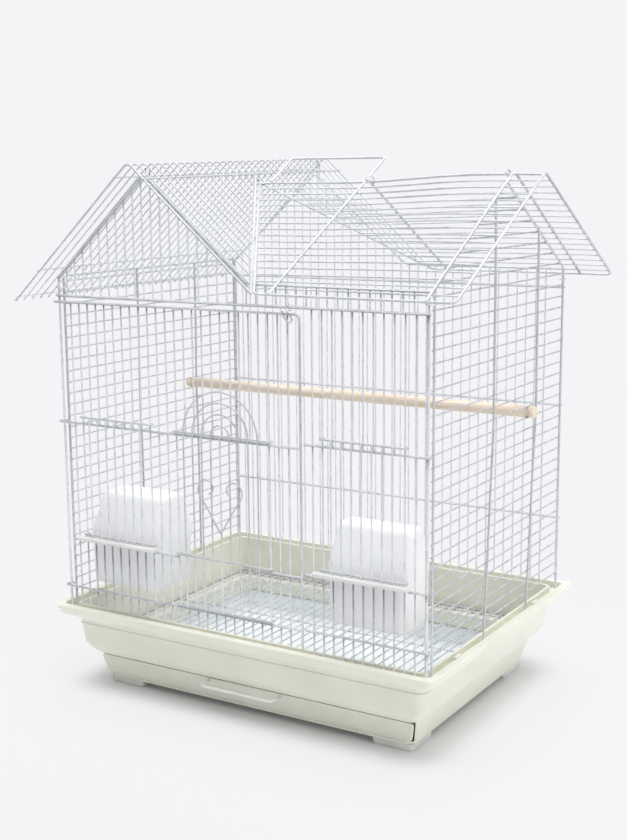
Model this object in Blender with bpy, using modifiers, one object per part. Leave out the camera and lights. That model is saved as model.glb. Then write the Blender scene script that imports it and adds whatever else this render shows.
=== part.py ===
"""Roof top bird cage: coated wire panels on a moulded base with a slide-out drawer.

The cage stands on the floor at z = 0 with its centre on the z axis.  The front faces -Y.
A tall gable roof runs front to back on the left, and a lower roof crosses it on the right.
"""

import math

import bmesh
import bpy
from mathutils import Matrix, Vector

COLLECTION = "roof_top_bird_cage"
CUTTERS = "cutters"

# Wire and running clearances
WIRE = 0.0017
FRAME_WIRE = 0.0022
RING_WIRE = 0.0013
GAP = 0.0003
LOOP_GAP = 0.0005
RAKE_HEIGHT = 0.0034

# Wire body: outside half sizes to the wires' centre lines
HALF_WIDTH = 0.2145
HALF_DEPTH = 0.1617
DOOR_SETBACK = 0.0015
DOOR_STEP = 0.0030

# Heights above the floor
RIM_TOP = 0.0933
CHANNEL_FLOOR = 0.0860
CHANNEL_OUTER = 0.0062
CHANNEL_INNER = 0.0034
LOW_RAIL = 0.1135
FEEDER_RAIL = 0.1667
FEEDER_RAIL_RIGHT = 0.1698
MIDDLE_RAIL = 0.2929
MIDDLE_RAIL_RIGHT = 0.2968
DOOR_TOP = 0.4196
UPPER_RAIL = 0.4256
WALL_TOP = 0.4467

# Wire spacing
DOOR_FIRST_WIRE = -0.1971
DOOR_PITCH = 0.01107
DOOR_WIRES = 25
DOOR_FRAME_X = 0.0829
RIGHT_FIRST_WIRE = 0.0934
RIGHT_PITCH = 0.01087
RIGHT_WIRES = 12
GABLE_PITCH = 0.0112
BACK_PITCH = 0.01107
SIDE_FIRST_ROW = 0.1070
SIDE_PITCH = 0.0119
SIDE_ROWS = 29
SIDE_INSET = 0.0082
SIDE_BACK_INSET = 0.0034
SIDE_POST_FRONT = -0.0290
SIDE_POST_BACK = 0.0790

# Roofs
ROOF_HALF_WIDTH = 0.2530
ROOF_HALF_DEPTH = 0.1860
TALL_RIDGE_X = -0.0975
TALL_RIDGE_Z = 0.5589
TALL_EAVE_Z = 0.4208
VALLEY_FOOT_X = 0.0452
VALLEY_FOOT_Z = 0.4374
LOW_RIDGE_Z = 0.5447
GABLE_DROP = 0.0090
ROOF_WIRES = 31
LOW_ROOF_ROWS = 18
ROOF_RAIL_EAVE = -0.2184
ROOF_RAIL_TOP_LEFT = -0.1146
ROOF_RAIL_TOP_RIGHT = -0.0866
VALLEY_CLEARANCE = 0.0016
LID_SUPPORTS = (0.0634, 0.2241)
STOP_LOOP_LEFT_X = -0.0520
STOP_LOOP_REACH = 0.0405
STOP_LOOP_RISE = 0.0180

# Drawer and handle
DRAWER_HALF_TOP = 0.1872
DRAWER_HALF_BOTTOM = 0.1830
DRAWER_ROOM_TOP = 0.0051
DRAWER_ROOM_BOTTOM = 0.0021
DRAWER_BACK_Y = 0.1300
DRAWER_BOTTOM_Z = 0.0105
DRAWER_TOP_Z = 0.0330
DRAWER_WALL = 0.0020
DRAWER_FRONT_HALF_TOP = 0.1915
DRAWER_FRONT_HALF_BOTTOM = 0.1862
DRAWER_FRONT_THICKNESS = 0.0026
HANDLE_HALF = 0.0434
HANDLE_X = -0.0035
HANDLE_REACH = 0.0156
HANDLE_WIRE = 0.0032

# Base tray: each level is an offset from the wire body, at a height
BASE_RADIUS = 0.0103
BASE_RADIUS_FALL = 0.31
BASE_RADIUS_RANGE = (0.0060, 0.0108)
BASE_WALL = 0.0023
BASE_OUTSIDE = (
    (DRAWER_HALF_BOTTOM + DRAWER_ROOM_BOTTOM + BASE_WALL - HALF_WIDTH, 0.0075),
    (DRAWER_HALF_TOP + DRAWER_ROOM_TOP + BASE_WALL - HALF_WIDTH, 0.0335),
    (-0.0117, 0.0406),
    (-0.0068, 0.0478),
    (-0.0039, 0.0748),
    (0.0080, 0.0845),
    (0.0101, 0.0831),
    (0.0139, 0.0923),
    (0.0132, RIM_TOP),
)
LEDGE_Z = 0.0494
LEDGE_INSET = 0.0330
LEDGE_THICKNESS = 0.0024
BAY_FLOOR = 0.0095
RIM_CLIP_Y = (-0.1017, 0.0899)

# Floor grille
GRILLE_HALF_X = 0.2015
GRILLE_HALF_Y = 0.1495
GRILLE_WIRES = 37
GRILLE_CROSS_Y = (-0.0895, 0.0119, 0.1400)

# Feet
FOOT_SIZE = 0.0450

# Perch
PERCH_RADIUS = 0.0060
PERCH_Y = 0.0700
PERCH_ROW = 16
PERCH_OVERHANG = 0.0085

# Feeders
FEEDER_WALL = 0.0016
CUP_HALF = 0.0370
CUP_DEPTH = 0.0430
CUP_DROP = 0.0440
HOOD_SETBACK = 0.0030
HOOD_HALF_TOP = 0.0350
HOOD_HALF_BOTTOM = 0.0445
HOOD_HEIGHT = 0.0450
HOOD_TOP_DEPTH = 0.0300
HOOD_DEPTH = 0.0545
HOOD_EDGE = 0.0085
LIP_HALF_ROOT = 0.0540
NECK_HALF = 0.0415
LIP_HALF_FRONT = 0.0468
LIP_REACH = 0.0117
LIP_THICKNESS = 0.0036

# Small sliding doors, counted in wires of the panel that each one slides on
LEFT_FEEDER_LOOPS = (1, 9)
RAINBOW_LOOPS = (12, 22)
RIGHT_FEEDER_LOOPS = (1, 9)
RAINBOW_LIFT = 0.0030
SLIDE_STEP = 0.0030
ARCH_STEPS = 10

COATED_WIRE = ("coated_wire", (0.86, 0.88, 0.90), 0.35, 0.0)
IVORY = ("ivory_plastic", (0.80, 0.80, 0.70), 0.45, 0.0)
FOOT_GREY = ("grey_foot_plastic", (0.55, 0.56, 0.53), 0.60, 0.0)
DRAWER_WHITE = ("drawer_plastic", (0.80, 0.82, 0.76), 0.45, 0.0)
FEEDER_WHITE = ("feeder_plastic", (0.88, 0.89, 0.90), 0.30, 0.0)
BEECH = ("beech", (0.76, 0.64, 0.50), 0.60, 0.0)
ZINC = ("zinc_clip", (0.62, 0.64, 0.66), 0.35, 0.8)


def front_panel_y():
    """Y of the fixed front wires."""
    return -HALF_DEPTH + DOOR_SETBACK


def door_y():
    """Y of the large door's wires, in front of the fixed ones."""
    return front_panel_y() - DOOR_STEP


def clear_scene():
    """Remove every object that the scene starts with."""
    for item in list(bpy.data.objects):
        bpy.data.objects.remove(item, do_unlink=True)


def collection(name):
    """Return the named collection, made when it is missing."""
    found = bpy.data.collections.get(name)
    if found is None:
        found = bpy.data.collections.new(name)
        bpy.context.scene.collection.children.link(found)
    return found


def material(spec):
    """Return the material of a spec: name, colour, roughness, metallic."""
    name, colour, roughness, metallic = spec
    found = bpy.data.materials.get(name)
    if found is None:
        found = bpy.data.materials.new(name)
        found.use_nodes = True
        shader = found.node_tree.nodes["Principled BSDF"]
        shader.inputs["Base Color"].default_value = (*colour, 1.0)
        shader.inputs["Roughness"].default_value = roughness
        shader.inputs["Metallic"].default_value = metallic
    return found


def add_object(name, data, spec, group=COLLECTION):
    """Link new object data under a name, with its material."""
    item = bpy.data.objects.new(name, data)
    collection(group).objects.link(item)
    if spec is not None:
        data.materials.clear()
        data.materials.append(material(spec))
    return item


def mesh_from(bm, name):
    """Turn a bmesh into mesh data with its faces pointing out."""
    bmesh.ops.recalc_face_normals(bm, faces=bm.faces)
    data = bpy.data.meshes.new(name)
    bm.to_mesh(data)
    bm.free()
    return data


def hang_on_axis(item, point):
    """Hang an object from an empty on its joint's axis."""
    pivot = bpy.data.objects.new(item.name + "_pivot", None)
    collection(COLLECTION).objects.link(pivot)
    pivot.location = point
    item.parent = pivot
    item.matrix_parent_inverse = Matrix.Translation(-Vector(point))


def lattice(name, stations, lines, solid, place, thickness, spec=COATED_WIRE):
    """Flat or folded plate of wires.

    Stations are the edges across the wires, and lines the edges along them.  A line may be a
    function of the station.  solid(i, j) says whether the cell between stations i and i + 1 and
    lines j and j + 1 is filled.
    """
    bm = bmesh.new()
    corners = {}

    def corner(i, j):
        if (i, j) not in corners:
            line = lines[j]
            along = line(stations[i]) if callable(line) else line
            corners[(i, j)] = bm.verts.new(place(stations[i], along))
        return corners[(i, j)]

    for i in range(len(stations) - 1):
        for j in range(len(lines) - 1):
            if solid(i, j):
                ring = (corner(i, j), corner(i + 1, j), corner(i + 1, j + 1), corner(i, j + 1))
                bm.faces.new(ring)
    item = add_object(name, mesh_from(bm, name), spec)
    shell = item.modifiers.new("thickness", "SOLIDIFY")
    shell.thickness = thickness
    shell.offset = 0.0
    shell.use_even_offset = True
    return item


def edges_of(bars, extra=()):
    """Sorted edges of bars given as (centre, width) pairs, with any extra breaks."""
    found = set(extra)
    for centre, width in bars:
        found.add(centre - width / 2)
        found.add(centre + width / 2)
    return sorted(found)


def inside(value, bars):
    """Whether a value lies on one of the bars."""
    return any(abs(value - centre) < width / 2 for centre, width in bars)


def series(first, pitch, count):
    """Evenly spaced values."""
    return [first + pitch * k for k in range(count)]


def rod(name, points, width, spec=COATED_WIRE, sides=0, cyclic=False):
    """Bent wire along a list of points."""
    curve = bpy.data.curves.new(name, "CURVE")
    curve.dimensions = "3D"
    curve.bevel_depth = width / 2
    curve.bevel_resolution = sides
    curve.use_fill_caps = True
    spline = curve.splines.new("POLY")
    spline.points.add(len(points) - 1)
    for target, point in zip(spline.points, points):
        target.co = (*point, 1.0)
    spline.use_cyclic_u = cyclic
    return add_object(name, curve, spec)


def ring(name, centre, axis, inner, width, spec=ZINC):
    """Closed wire ring about an axis."""
    bpy.ops.mesh.primitive_torus_add(
        major_segments=8,
        minor_segments=4,
        major_radius=inner / math.cos(math.pi / 8) + width / 2,
        minor_radius=width / 2,
    )
    item = bpy.context.active_object
    item.name = name
    for owner in list(item.users_collection):
        owner.objects.unlink(item)
    collection(COLLECTION).objects.link(item)
    turn = Vector((0, 0, 1)).rotation_difference(Vector(axis)).to_matrix().to_4x4()
    item.data.transform(Matrix.Translation(centre) @ turn)
    item.location = (0, 0, 0)
    item.data.materials.clear()
    item.data.materials.append(material(spec))
    return item


def as_cutter(item):
    """Put an object among the cutters."""
    for owner in list(item.users_collection):
        owner.objects.unlink(item)
    collection(CUTTERS).objects.link(item)
    item.hide_render = True
    item.display_type = "WIRE"
    return item


def combine(item, other, operation):
    """Join or cut an object with another one."""
    step = item.modifiers.new(operation.lower(), "BOOLEAN")
    step.operation = operation
    step.solver = "EXACT"
    step.object = as_cutter(other)
    return item


def block(name, low, high, spec=IVORY):
    """Box between two corners."""
    bm = bmesh.new()
    bmesh.ops.create_cube(bm, size=1.0)
    size = Vector(high) - Vector(low)
    centre = (Vector(high) + Vector(low)) / 2
    bmesh.ops.transform(bm, matrix=Matrix.Diagonal((*size, 1.0)), verts=bm.verts)
    bmesh.ops.translate(bm, vec=centre, verts=bm.verts)
    return add_object(name, mesh_from(bm, name), spec)


def rounded_ring(half_x, half_y, radius, z, steps=3):
    """Points of a rounded rectangle at a height, anticlockwise seen from above."""
    points = []
    for corner in range(4):
        sign_x = (1, -1, -1, 1)[corner]
        sign_y = (1, 1, -1, -1)[corner]
        for step in range(steps + 1):
            angle = math.pi / 2 * (corner + step / steps)
            x = sign_x * (half_x - radius) + radius * math.cos(angle)
            y = sign_y * (half_y - radius) + radius * math.sin(angle)
            points.append((x, y, z))
    return points


def loft(name, rings, spec):
    """Closed skin through rings of equal count, capped at both ends."""
    bm = bmesh.new()
    loops = [[bm.verts.new(point) for point in points] for points in rings]
    bm.faces.new(loops[0])
    bm.faces.new(loops[-1])
    for lower, upper in zip(loops, loops[1:]):
        count = len(lower)
        for k in range(count):
            after = (k + 1) % count
            bm.faces.new((lower[k], lower[after], upper[after], upper[k]))
    return add_object(name, mesh_from(bm, name), spec)


def tall_roof_z(x):
    """Height of the tall roof's surface at x."""
    if x < TALL_RIDGE_X:
        run = (TALL_RIDGE_X - x) / (TALL_RIDGE_X + ROOF_HALF_WIDTH)
        return TALL_RIDGE_Z - (TALL_RIDGE_Z - TALL_EAVE_Z) * run
    run = (x - TALL_RIDGE_X) / (VALLEY_FOOT_X - TALL_RIDGE_X)
    return TALL_RIDGE_Z - (TALL_RIDGE_Z - VALLEY_FOOT_Z) * run


def low_roof_z(y):
    """Height of the low roof's surface at y."""
    return LOW_RIDGE_Z - (LOW_RIDGE_Z - VALLEY_FOOT_Z) * abs(y) / ROOF_HALF_DEPTH


def valley_x(y):
    """X where the two roofs meet at y."""
    slope = (TALL_RIDGE_Z - VALLEY_FOOT_Z) / (VALLEY_FOOT_X - TALL_RIDGE_X)
    return TALL_RIDGE_X + (TALL_RIDGE_Z - low_roof_z(y)) / slope


def gable_z(x):
    """Top of the front and back panels at x."""
    return max(tall_roof_z(x) - GABLE_DROP, WALL_TOP) if x > TALL_RIDGE_X else tall_roof_z(x) - GABLE_DROP


def gable_foot_x():
    """X where the gable comes down to the top of the right part of the panel."""
    slope = (TALL_RIDGE_Z - VALLEY_FOOT_Z) / (VALLEY_FOOT_X - TALL_RIDGE_X)
    return TALL_RIDGE_X + (TALL_RIDGE_Z - GABLE_DROP - WALL_TOP) / slope


def door_wires():
    """X of the large door's wires."""
    return series(DOOR_FIRST_WIRE, DOOR_PITCH, DOOR_WIRES)


def right_wires():
    """X of the wires of the fixed part to the right of the large door."""
    return series(RIGHT_FIRST_WIRE, RIGHT_PITCH, RIGHT_WIRES)


def side_rows():
    """Heights of the side panels' wires."""
    return series(SIDE_FIRST_ROW, SIDE_PITCH, SIDE_ROWS)


def rail_lines(heights, width=FRAME_WIRE):
    """Lower and upper edges of rails at rising heights."""
    lines = []
    for height in heights:
        lines.append(height - width / 2)
        lines.append(height + width / 2)
    return lines


def base_radius(offset):
    """Corner radius of the base at an offset from the wire body: sharp at the rim, rounder below."""
    least, most = BASE_RADIUS_RANGE
    return min(max(BASE_RADIUS - BASE_RADIUS_FALL * offset, least), most)


def build_base():
    """Moulded base: rim with a channel for the panels, a ledge and a drawer bay."""
    rings = []
    for offset, z in BASE_OUTSIDE:
        rings.append(rounded_ring(HALF_WIDTH + offset, HALF_DEPTH + offset, base_radius(offset), z))
    wall_low = BASE_OUTSIDE[3][0] - BASE_WALL
    wall_high = BASE_OUTSIDE[4][0] - BASE_WALL
    bay_top = LEDGE_Z - LEDGE_THICKNESS
    inside_levels = (
        (CHANNEL_OUTER, RIM_TOP),
        (CHANNEL_OUTER, CHANNEL_FLOOR),
        (-CHANNEL_INNER, CHANNEL_FLOOR),
        (-CHANNEL_INNER, RIM_TOP - 0.0013),
        (wall_high, RIM_TOP - 0.0013),
        (wall_low, LEDGE_Z),
        (-LEDGE_INSET, LEDGE_Z),
        (-LEDGE_INSET, bay_top),
        (BASE_OUTSIDE[2][0] - BASE_WALL, bay_top),
        (BASE_OUTSIDE[1][0] - BASE_WALL, BASE_OUTSIDE[1][1] + 0.001),
        (BASE_OUTSIDE[0][0] - BASE_WALL, BAY_FLOOR),
    )
    for offset, z in inside_levels:
        radius = base_radius(offset) - BASE_WALL
        rings.append(rounded_ring(HALF_WIDTH + offset, HALF_DEPTH + offset, radius, z))
    base = loft("base_tray", rings, IVORY)
    low, high = DRAWER_BOTTOM_Z - GAP, DRAWER_TOP_Z + GAP + 0.0012
    front = -HALF_DEPTH - BASE_OUTSIDE[4][0]
    back = -HALF_DEPTH + 0.0360
    half_low, half_high = drawer_front_half(low) + 2 * GAP, drawer_front_half(high) + 2 * GAP
    outline = [
        [(-half_low, y, low), (half_low, y, low), (half_high, y, high), (-half_high, y, high)]
        for y in (front, back)
    ]
    combine(base, loft("drawer_opening", outline, None), "DIFFERENCE")


def build_feet():
    """Four square pads under the base."""
    bottom = BASE_OUTSIDE[0]
    outer_x = HALF_WIDTH + bottom[0] - 0.0010
    outer_y = HALF_DEPTH + bottom[0] - 0.0010
    for name, sx, sy in (("front_left", -1, -1), ("front_right", 1, -1),
                         ("back_left", -1, 1), ("back_right", 1, 1)):
        xs = sorted((sx * outer_x, sx * (outer_x - FOOT_SIZE)))
        ys = sorted((sy * outer_y, sy * (outer_y - FOOT_SIZE)))
        block("foot_" + name, (xs[0], ys[0], 0.0), (xs[1], ys[1], bottom[1] - GAP), FOOT_GREY)


def drawer_front_half(z):
    """Half width of the drawer's front at a height."""
    share = (z - DRAWER_BOTTOM_Z) / (DRAWER_TOP_Z - DRAWER_BOTTOM_Z)
    return DRAWER_FRONT_HALF_BOTTOM + (DRAWER_FRONT_HALF_TOP - DRAWER_FRONT_HALF_BOTTOM) * share


def drawer_front_y(z):
    """Outer face of the drawer's front at a height: it follows the slope of the base."""
    (low_in, low_z), (high_in, high_z) = BASE_OUTSIDE[0], BASE_OUTSIDE[1]
    share = (z - low_z) / (high_z - low_z)
    return -(HALF_DEPTH + low_in + (high_in - low_in) * share)


def build_drawer():
    """Drawer tray with a wide sloping front, and its wire handle."""
    middle = (DRAWER_BACK_Y + drawer_front_y(DRAWER_BOTTOM_Z) + DRAWER_FRONT_THICKNESS / 2) / 2
    half_y = DRAWER_BACK_Y - middle
    levels = (
        (DRAWER_HALF_BOTTOM, 0.0, DRAWER_BOTTOM_Z),
        (DRAWER_HALF_TOP, 0.0, DRAWER_TOP_Z),
        (DRAWER_HALF_TOP, DRAWER_WALL, DRAWER_TOP_Z),
        (DRAWER_HALF_BOTTOM, DRAWER_WALL, DRAWER_BOTTOM_Z + DRAWER_WALL),
    )
    rings = []
    for half_x, wall, z in levels:
        points = rounded_ring(half_x - wall, half_y - wall, 0.006 - wall / 2, z)
        rings.append([(x, y + middle, height) for x, y, height in points])
    drawer = loft("drawer", rings, DRAWER_WHITE)
    faces = []
    for inward in (0.0, DRAWER_FRONT_THICKNESS):
        faces.append([
            (sx * half, drawer_front_y(z) + inward, z)
            for sx, half, z in (
                (-1, DRAWER_FRONT_HALF_BOTTOM, DRAWER_BOTTOM_Z),
                (1, DRAWER_FRONT_HALF_BOTTOM, DRAWER_BOTTOM_Z),
                (1, DRAWER_FRONT_HALF_TOP, DRAWER_TOP_Z),
                (-1, DRAWER_FRONT_HALF_TOP, DRAWER_TOP_Z),
            )
        ])
    combine(drawer, loft("drawer_front_plate", faces, None), "UNION")
    z = DRAWER_TOP_Z - HANDLE_WIRE
    root = drawer_front_y(z) - GAP - HANDLE_WIRE * 0.3
    tip = root - HANDLE_REACH
    handle = rod("drawer_handle", [
        (HANDLE_X - HANDLE_HALF, root, z),
        (HANDLE_X - HANDLE_HALF, tip, z),
        (HANDLE_X + HANDLE_HALF, tip, z),
        (HANDLE_X + HANDLE_HALF, root, z),
    ], HANDLE_WIRE)
    handle.data.bevel_resolution = 1


def build_grille():
    """Floor grille that lies on the ledge, with three cross wires."""
    z = LEDGE_Z + GAP + WIRE / 2
    pitch = 2 * GRILLE_HALF_X / (GRILLE_WIRES - 1)
    bars = [(x, WIRE) for x in series(-GRILLE_HALF_X, pitch, GRILLE_WIRES)]
    stations = edges_of(bars)
    lines = [-GRILLE_HALF_Y, -GRILLE_HALF_Y + FRAME_WIRE, GRILLE_HALF_Y - FRAME_WIRE, GRILLE_HALF_Y]

    def solid(i, j):
        return j != 1 or inside((stations[i] + stations[i + 1]) / 2, bars)

    lattice("floor_grille", stations, lines, solid, lambda x, y: (x, y, z), WIRE)
    top = z + WIRE + GAP
    for number, y in enumerate(GRILLE_CROSS_Y, 1):
        reach = GRILLE_HALF_X
        rod(f"grille_cross_wire_{number}", [(-reach, y, top), (reach, y, top)], WIRE)


def build_front_panel():
    """Fixed front panel: gable, door post and the part to the right of the large door."""
    y = front_panel_y()
    gable_first = -HALF_WIDTH + GABLE_PITCH
    foot = gable_foot_x()
    upper = [(-HALF_WIDTH, FRAME_WIRE), (HALF_WIDTH, FRAME_WIRE)]
    count = int((HALF_WIDTH * 2 - GABLE_PITCH * 0.6) / GABLE_PITCH)
    for x in series(gable_first, GABLE_PITCH, count):
        upper.append((x, WIRE))
    lower = [(x, WIRE) for x in right_wires()]
    rail_left = DOOR_FRAME_X + FRAME_WIRE / 2 + LOOP_GAP
    stations = edges_of(upper + lower, (TALL_RIDGE_X, foot, rail_left))
    rails = (LOW_RAIL, FEEDER_RAIL_RIGHT, MIDDLE_RAIL_RIGHT, UPPER_RAIL)
    lines = [CHANNEL_FLOOR + GAP, *rail_lines(rails), lambda x: gable_z(x) - RAKE_HEIGHT, gable_z]
    first, last = RIGHT_FEEDER_LOOPS
    wires = right_wires()

    def solid(i, j):
        x = (stations[i] + stations[i + 1]) / 2
        if abs(x) > HALF_WIDTH - FRAME_WIRE / 2 or j in (7, 9):
            return True
        if j == 8:
            return inside(x, upper)
        if x < rail_left:
            return False
        if j in (1, 3, 5):
            return True
        if j == 4 and wires[first] + WIRE < x < wires[last] - WIRE:
            return False
        return inside(x, lower)

    lattice("front_panel", stations, lines, solid, lambda x, z: (x, y, z), WIRE)


def build_back_panel():
    """Back panel: full height wires under the same outline, and three cross rails outside."""
    y = HALF_DEPTH - DOOR_SETBACK
    bars = [(-HALF_WIDTH, FRAME_WIRE), (HALF_WIDTH, FRAME_WIRE)]
    count = int((HALF_WIDTH * 2 - BACK_PITCH * 0.6) / BACK_PITCH)
    for x in series(-HALF_WIDTH + BACK_PITCH, BACK_PITCH, count):
        bars.append((x, WIRE))
    stations = edges_of(bars, (TALL_RIDGE_X, gable_foot_x()))
    lines = [CHANNEL_FLOOR + GAP, lambda x: gable_z(x) - RAKE_HEIGHT, gable_z]

    def solid(i, j):
        return j == 1 or inside((stations[i] + stations[i + 1]) / 2, bars)

    lattice("back_panel", stations, lines, solid, lambda x, z: (x, y, z), WIRE)
    outer = y + WIRE / 2 + GAP + FRAME_WIRE / 2
    for name, z in (("upper", UPPER_RAIL), ("middle", MIDDLE_RAIL_RIGHT), ("lower", FEEDER_RAIL_RIGHT)):
        reach = HALF_WIDTH + FRAME_WIRE / 2
        rod(f"back_rail_{name}", [(-reach, outer, z), (reach, outer, z)], FRAME_WIRE * 1.1)


def build_side_panel(name, side):
    """Side panel of wires along Y: the right one rises to the low roof's gable."""
    x = side * HALF_WIDTH
    front = HALF_DEPTH - SIDE_INSET
    back = HALF_DEPTH - SIDE_BACK_INSET
    rows = side_rows()
    apex = low_roof_z(0.0) - GABLE_DROP / 2
    slope = (apex - WALL_TOP) / front
    back_slope = (apex - WALL_TOP) / back
    if side > 0:
        extra = int((apex - rows[-1] - SIDE_PITCH) / SIDE_PITCH)
        rows = rows + series(rows[-1] + SIDE_PITCH, SIDE_PITCH, extra)
    bars = [(z, WIRE) for z in rows]
    top = apex - 2 * FRAME_WIRE * slope if side > 0 else WALL_TOP
    breaks = (CHANNEL_FLOOR + GAP, WALL_TOP, top) if side > 0 else (CHANNEL_FLOOR + GAP, top)
    if side > 0:
        bars.append((top - WIRE / 2, WIRE))
    stations = edges_of(bars, breaks)

    def reach(z, depth):
        return depth if z <= WALL_TOP else min(depth, (apex - z) / (apex - WALL_TOP) * depth)

    rake = FRAME_WIRE
    lines = [
        lambda z: -reach(z, front),
        lambda z: -reach(z, front) + rake,
        lambda z: reach(z, back) - rake,
        lambda z: reach(z, back),
    ]

    def solid(i, j):
        return j != 1 or inside((stations[i] + stations[i + 1]) / 2, bars)

    lattice(name, stations, lines, solid, lambda z, y: (x, y, z), WIRE)
    outer = x + side * (WIRE / 2 + GAP + FRAME_WIRE * 0.55)
    for place, y in (("front", SIDE_POST_FRONT), ("back", SIDE_POST_BACK)):
        height = WALL_TOP
        if side > 0:
            height = apex - abs(y) * (slope if y < 0 else back_slope)
        rod(f"{name}_{place}_post", [(outer, y, CHANNEL_FLOOR + GAP), (outer, y, height)],
            FRAME_WIRE * 1.1)


def build_tall_roof():
    """Tall roof: bent wires over the ridge, from the left eave to the valley."""
    reach = ROOF_HALF_DEPTH - WIRE / 2
    pitch = 2 * reach / (ROOF_WIRES - 1)
    bars = [(y, WIRE) for y in series(-reach, pitch, ROOF_WIRES)]
    stations = edges_of(bars, (0.0,))
    lines = [
        -ROOF_HALF_WIDTH + WIRE / 3,
        *rail_lines((ROOF_RAIL_EAVE, ROOF_RAIL_TOP_LEFT), WIRE),
        TALL_RIDGE_X,
        *rail_lines((ROOF_RAIL_TOP_RIGHT,), WIRE),
        lambda y: valley_x(y) - FRAME_WIRE,
        valley_x,
    ]
    rails = (1, 3, 6, 8)

    def solid(i, j):
        return j in rails or inside((stations[i] + stations[i + 1]) / 2, bars)

    lattice("tall_roof", stations, lines, solid, lambda y, x: (x, y, tall_roof_z(x)), WIRE)


def build_low_roof(name, side):
    """One slope of the low roof, from the valley to the right edge."""
    edge = ROOF_HALF_DEPTH - WIRE / 2
    ridge = FRAME_WIRE / 2 + LOOP_GAP
    pitch = (edge - ridge) / LOW_ROOF_ROWS
    bars = [(side * y, WIRE) for y in series(ridge, pitch, LOW_ROOF_ROWS + 1)]
    stations = edges_of(bars)
    lines = [
        lambda y: valley_x(y) + VALLEY_CLEARANCE,
        lambda y: valley_x(y) + VALLEY_CLEARANCE + FRAME_WIRE,
        ROOF_HALF_WIDTH - FRAME_WIRE,
        ROOF_HALF_WIDTH,
    ]

    def solid(i, j):
        return j != 1 or inside((stations[i] + stations[i + 1]) / 2, bars)

    item = lattice(name, stations, lines, solid, lambda y, x: (x, y, low_roof_z(y)), WIRE)
    slope = Vector((0, side * ROOF_HALF_DEPTH, VALLEY_FOOT_Z - LOW_RIDGE_Z)).normalized()
    normal = Vector((0, side * -slope.z, side * slope.y)).normalized()
    lift = normal * (WIRE / 2 + GAP + FRAME_WIRE / 2)
    for number, x in enumerate(LID_SUPPORTS, 1):
        start = Vector((x, side * (ridge + pitch * 0.75), low_roof_z(ridge + pitch * 0.75))) + lift
        end = Vector((x, side * edge, low_roof_z(edge))) + lift
        rod(f"{name}_support_{number}", [start, end], FRAME_WIRE)
    return item


def hang_lid():
    """Hang the roof lid, its supports and its stop loop from the low roof's ridge."""
    ridge = FRAME_WIRE / 2 + LOOP_GAP
    names = ["roof_lid", "lid_stop_loop"]
    names += [f"roof_lid_support_{number}" for number in range(1, len(LID_SUPPORTS) + 1)]
    for name in names:
        hang_on_axis(bpy.data.objects[name], (0.0, -ridge, low_roof_z(ridge)))


def build_stop_loop():
    """Wire loop beyond the ridge that stops the opened lid on the back slope."""
    y = -FRAME_WIRE / 2 - LOOP_GAP
    base = Vector((0, y, low_roof_z(y) + WIRE * 0.58 + GAP + FRAME_WIRE / 2))
    reach = Vector((0, STOP_LOOP_REACH, STOP_LOOP_RISE))
    right = LID_SUPPORTS[0]
    points = [
        base + Vector((STOP_LOOP_LEFT_X, 0, 0)),
        base + Vector((STOP_LOOP_LEFT_X, 0, 0)) + reach,
        base + Vector((right, 0, 0)) + reach,
        base + Vector((right, 0, 0)),
    ]
    rod("lid_stop_loop", points, FRAME_WIRE)


def slide_loops(item, name, wires, loops, heights, y):
    """Join the sliding loops of a small door to its bars."""
    for number in loops:
        for height in heights:
            loop = ring(f"{name}_loop", (wires[number], y, height), (0, 0, 1),
                        WIRE * 0.75 + LOOP_GAP, RING_WIRE)
            combine(item, loop, "UNION")


def build_feeder_door(name, wires, loops, low, high, panel_y):
    """Small door of upright wires between two bars, which slides up on the panel's wires."""
    y = panel_y - SLIDE_STEP
    first, last = loops
    bars = [(x, WIRE) for x in wires[first + 1:last]]
    reach = (wires[first] - WIRE * 1.4, wires[last] + WIRE * 1.4)
    stations = edges_of(bars, reach)
    lines = rail_lines((low, high), FRAME_WIRE)

    def solid(i, j):
        return j != 1 or inside((stations[i] + stations[i + 1]) / 2, bars)

    item = lattice(name, stations, lines, solid, lambda x, z: (x, y, z), WIRE)
    slide_loops(item, name, wires, loops, (low, high), panel_y)
    return item


def build_front_door():
    """Large front door, with openings for the feeder and the rainbow door."""
    y = door_y()
    wires = door_wires()
    bars = [(x, WIRE) for x in wires] + [(DOOR_FRAME_X, FRAME_WIRE)]
    post = -HALF_WIDTH
    left = post + FRAME_WIRE
    stub = wires[0] - DOOR_PITCH * 0.6
    stations = edges_of(bars, (left, stub))
    stations = [x for x in stations if x >= left]
    lines = [RIM_TOP + 2 * GAP, *rail_lines((LOW_RAIL, FEEDER_RAIL, MIDDLE_RAIL, DOOR_TOP))]

    def between(x, loops):
        return wires[loops[0]] + WIRE < x < wires[loops[1]] - WIRE

    def solid(i, j):
        x = (stations[i] + stations[i + 1]) / 2
        if j == 3:
            return x > stub and not between(x, RAINBOW_LOOPS)
        if j in (1, 5, 7):
            return True
        if j == 4 and between(x, LEFT_FEEDER_LOOPS):
            return False
        if j in (2, 4) and between(x, RAINBOW_LOOPS):
            return False
        return inside(x, bars)

    item = lattice("front_door", stations, lines, solid, lambda x, z: (x, y, z), WIRE)
    for height in (LOW_RAIL, MIDDLE_RAIL):
        loop = ring("hinge_loop", (post, front_panel_y(), height), (0, 0, 1),
                    FRAME_WIRE * 0.72 + LOOP_GAP, FRAME_WIRE)
        combine(item, loop, "UNION")
    hang_on_axis(item, (post, front_panel_y(), 0.0))


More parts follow.
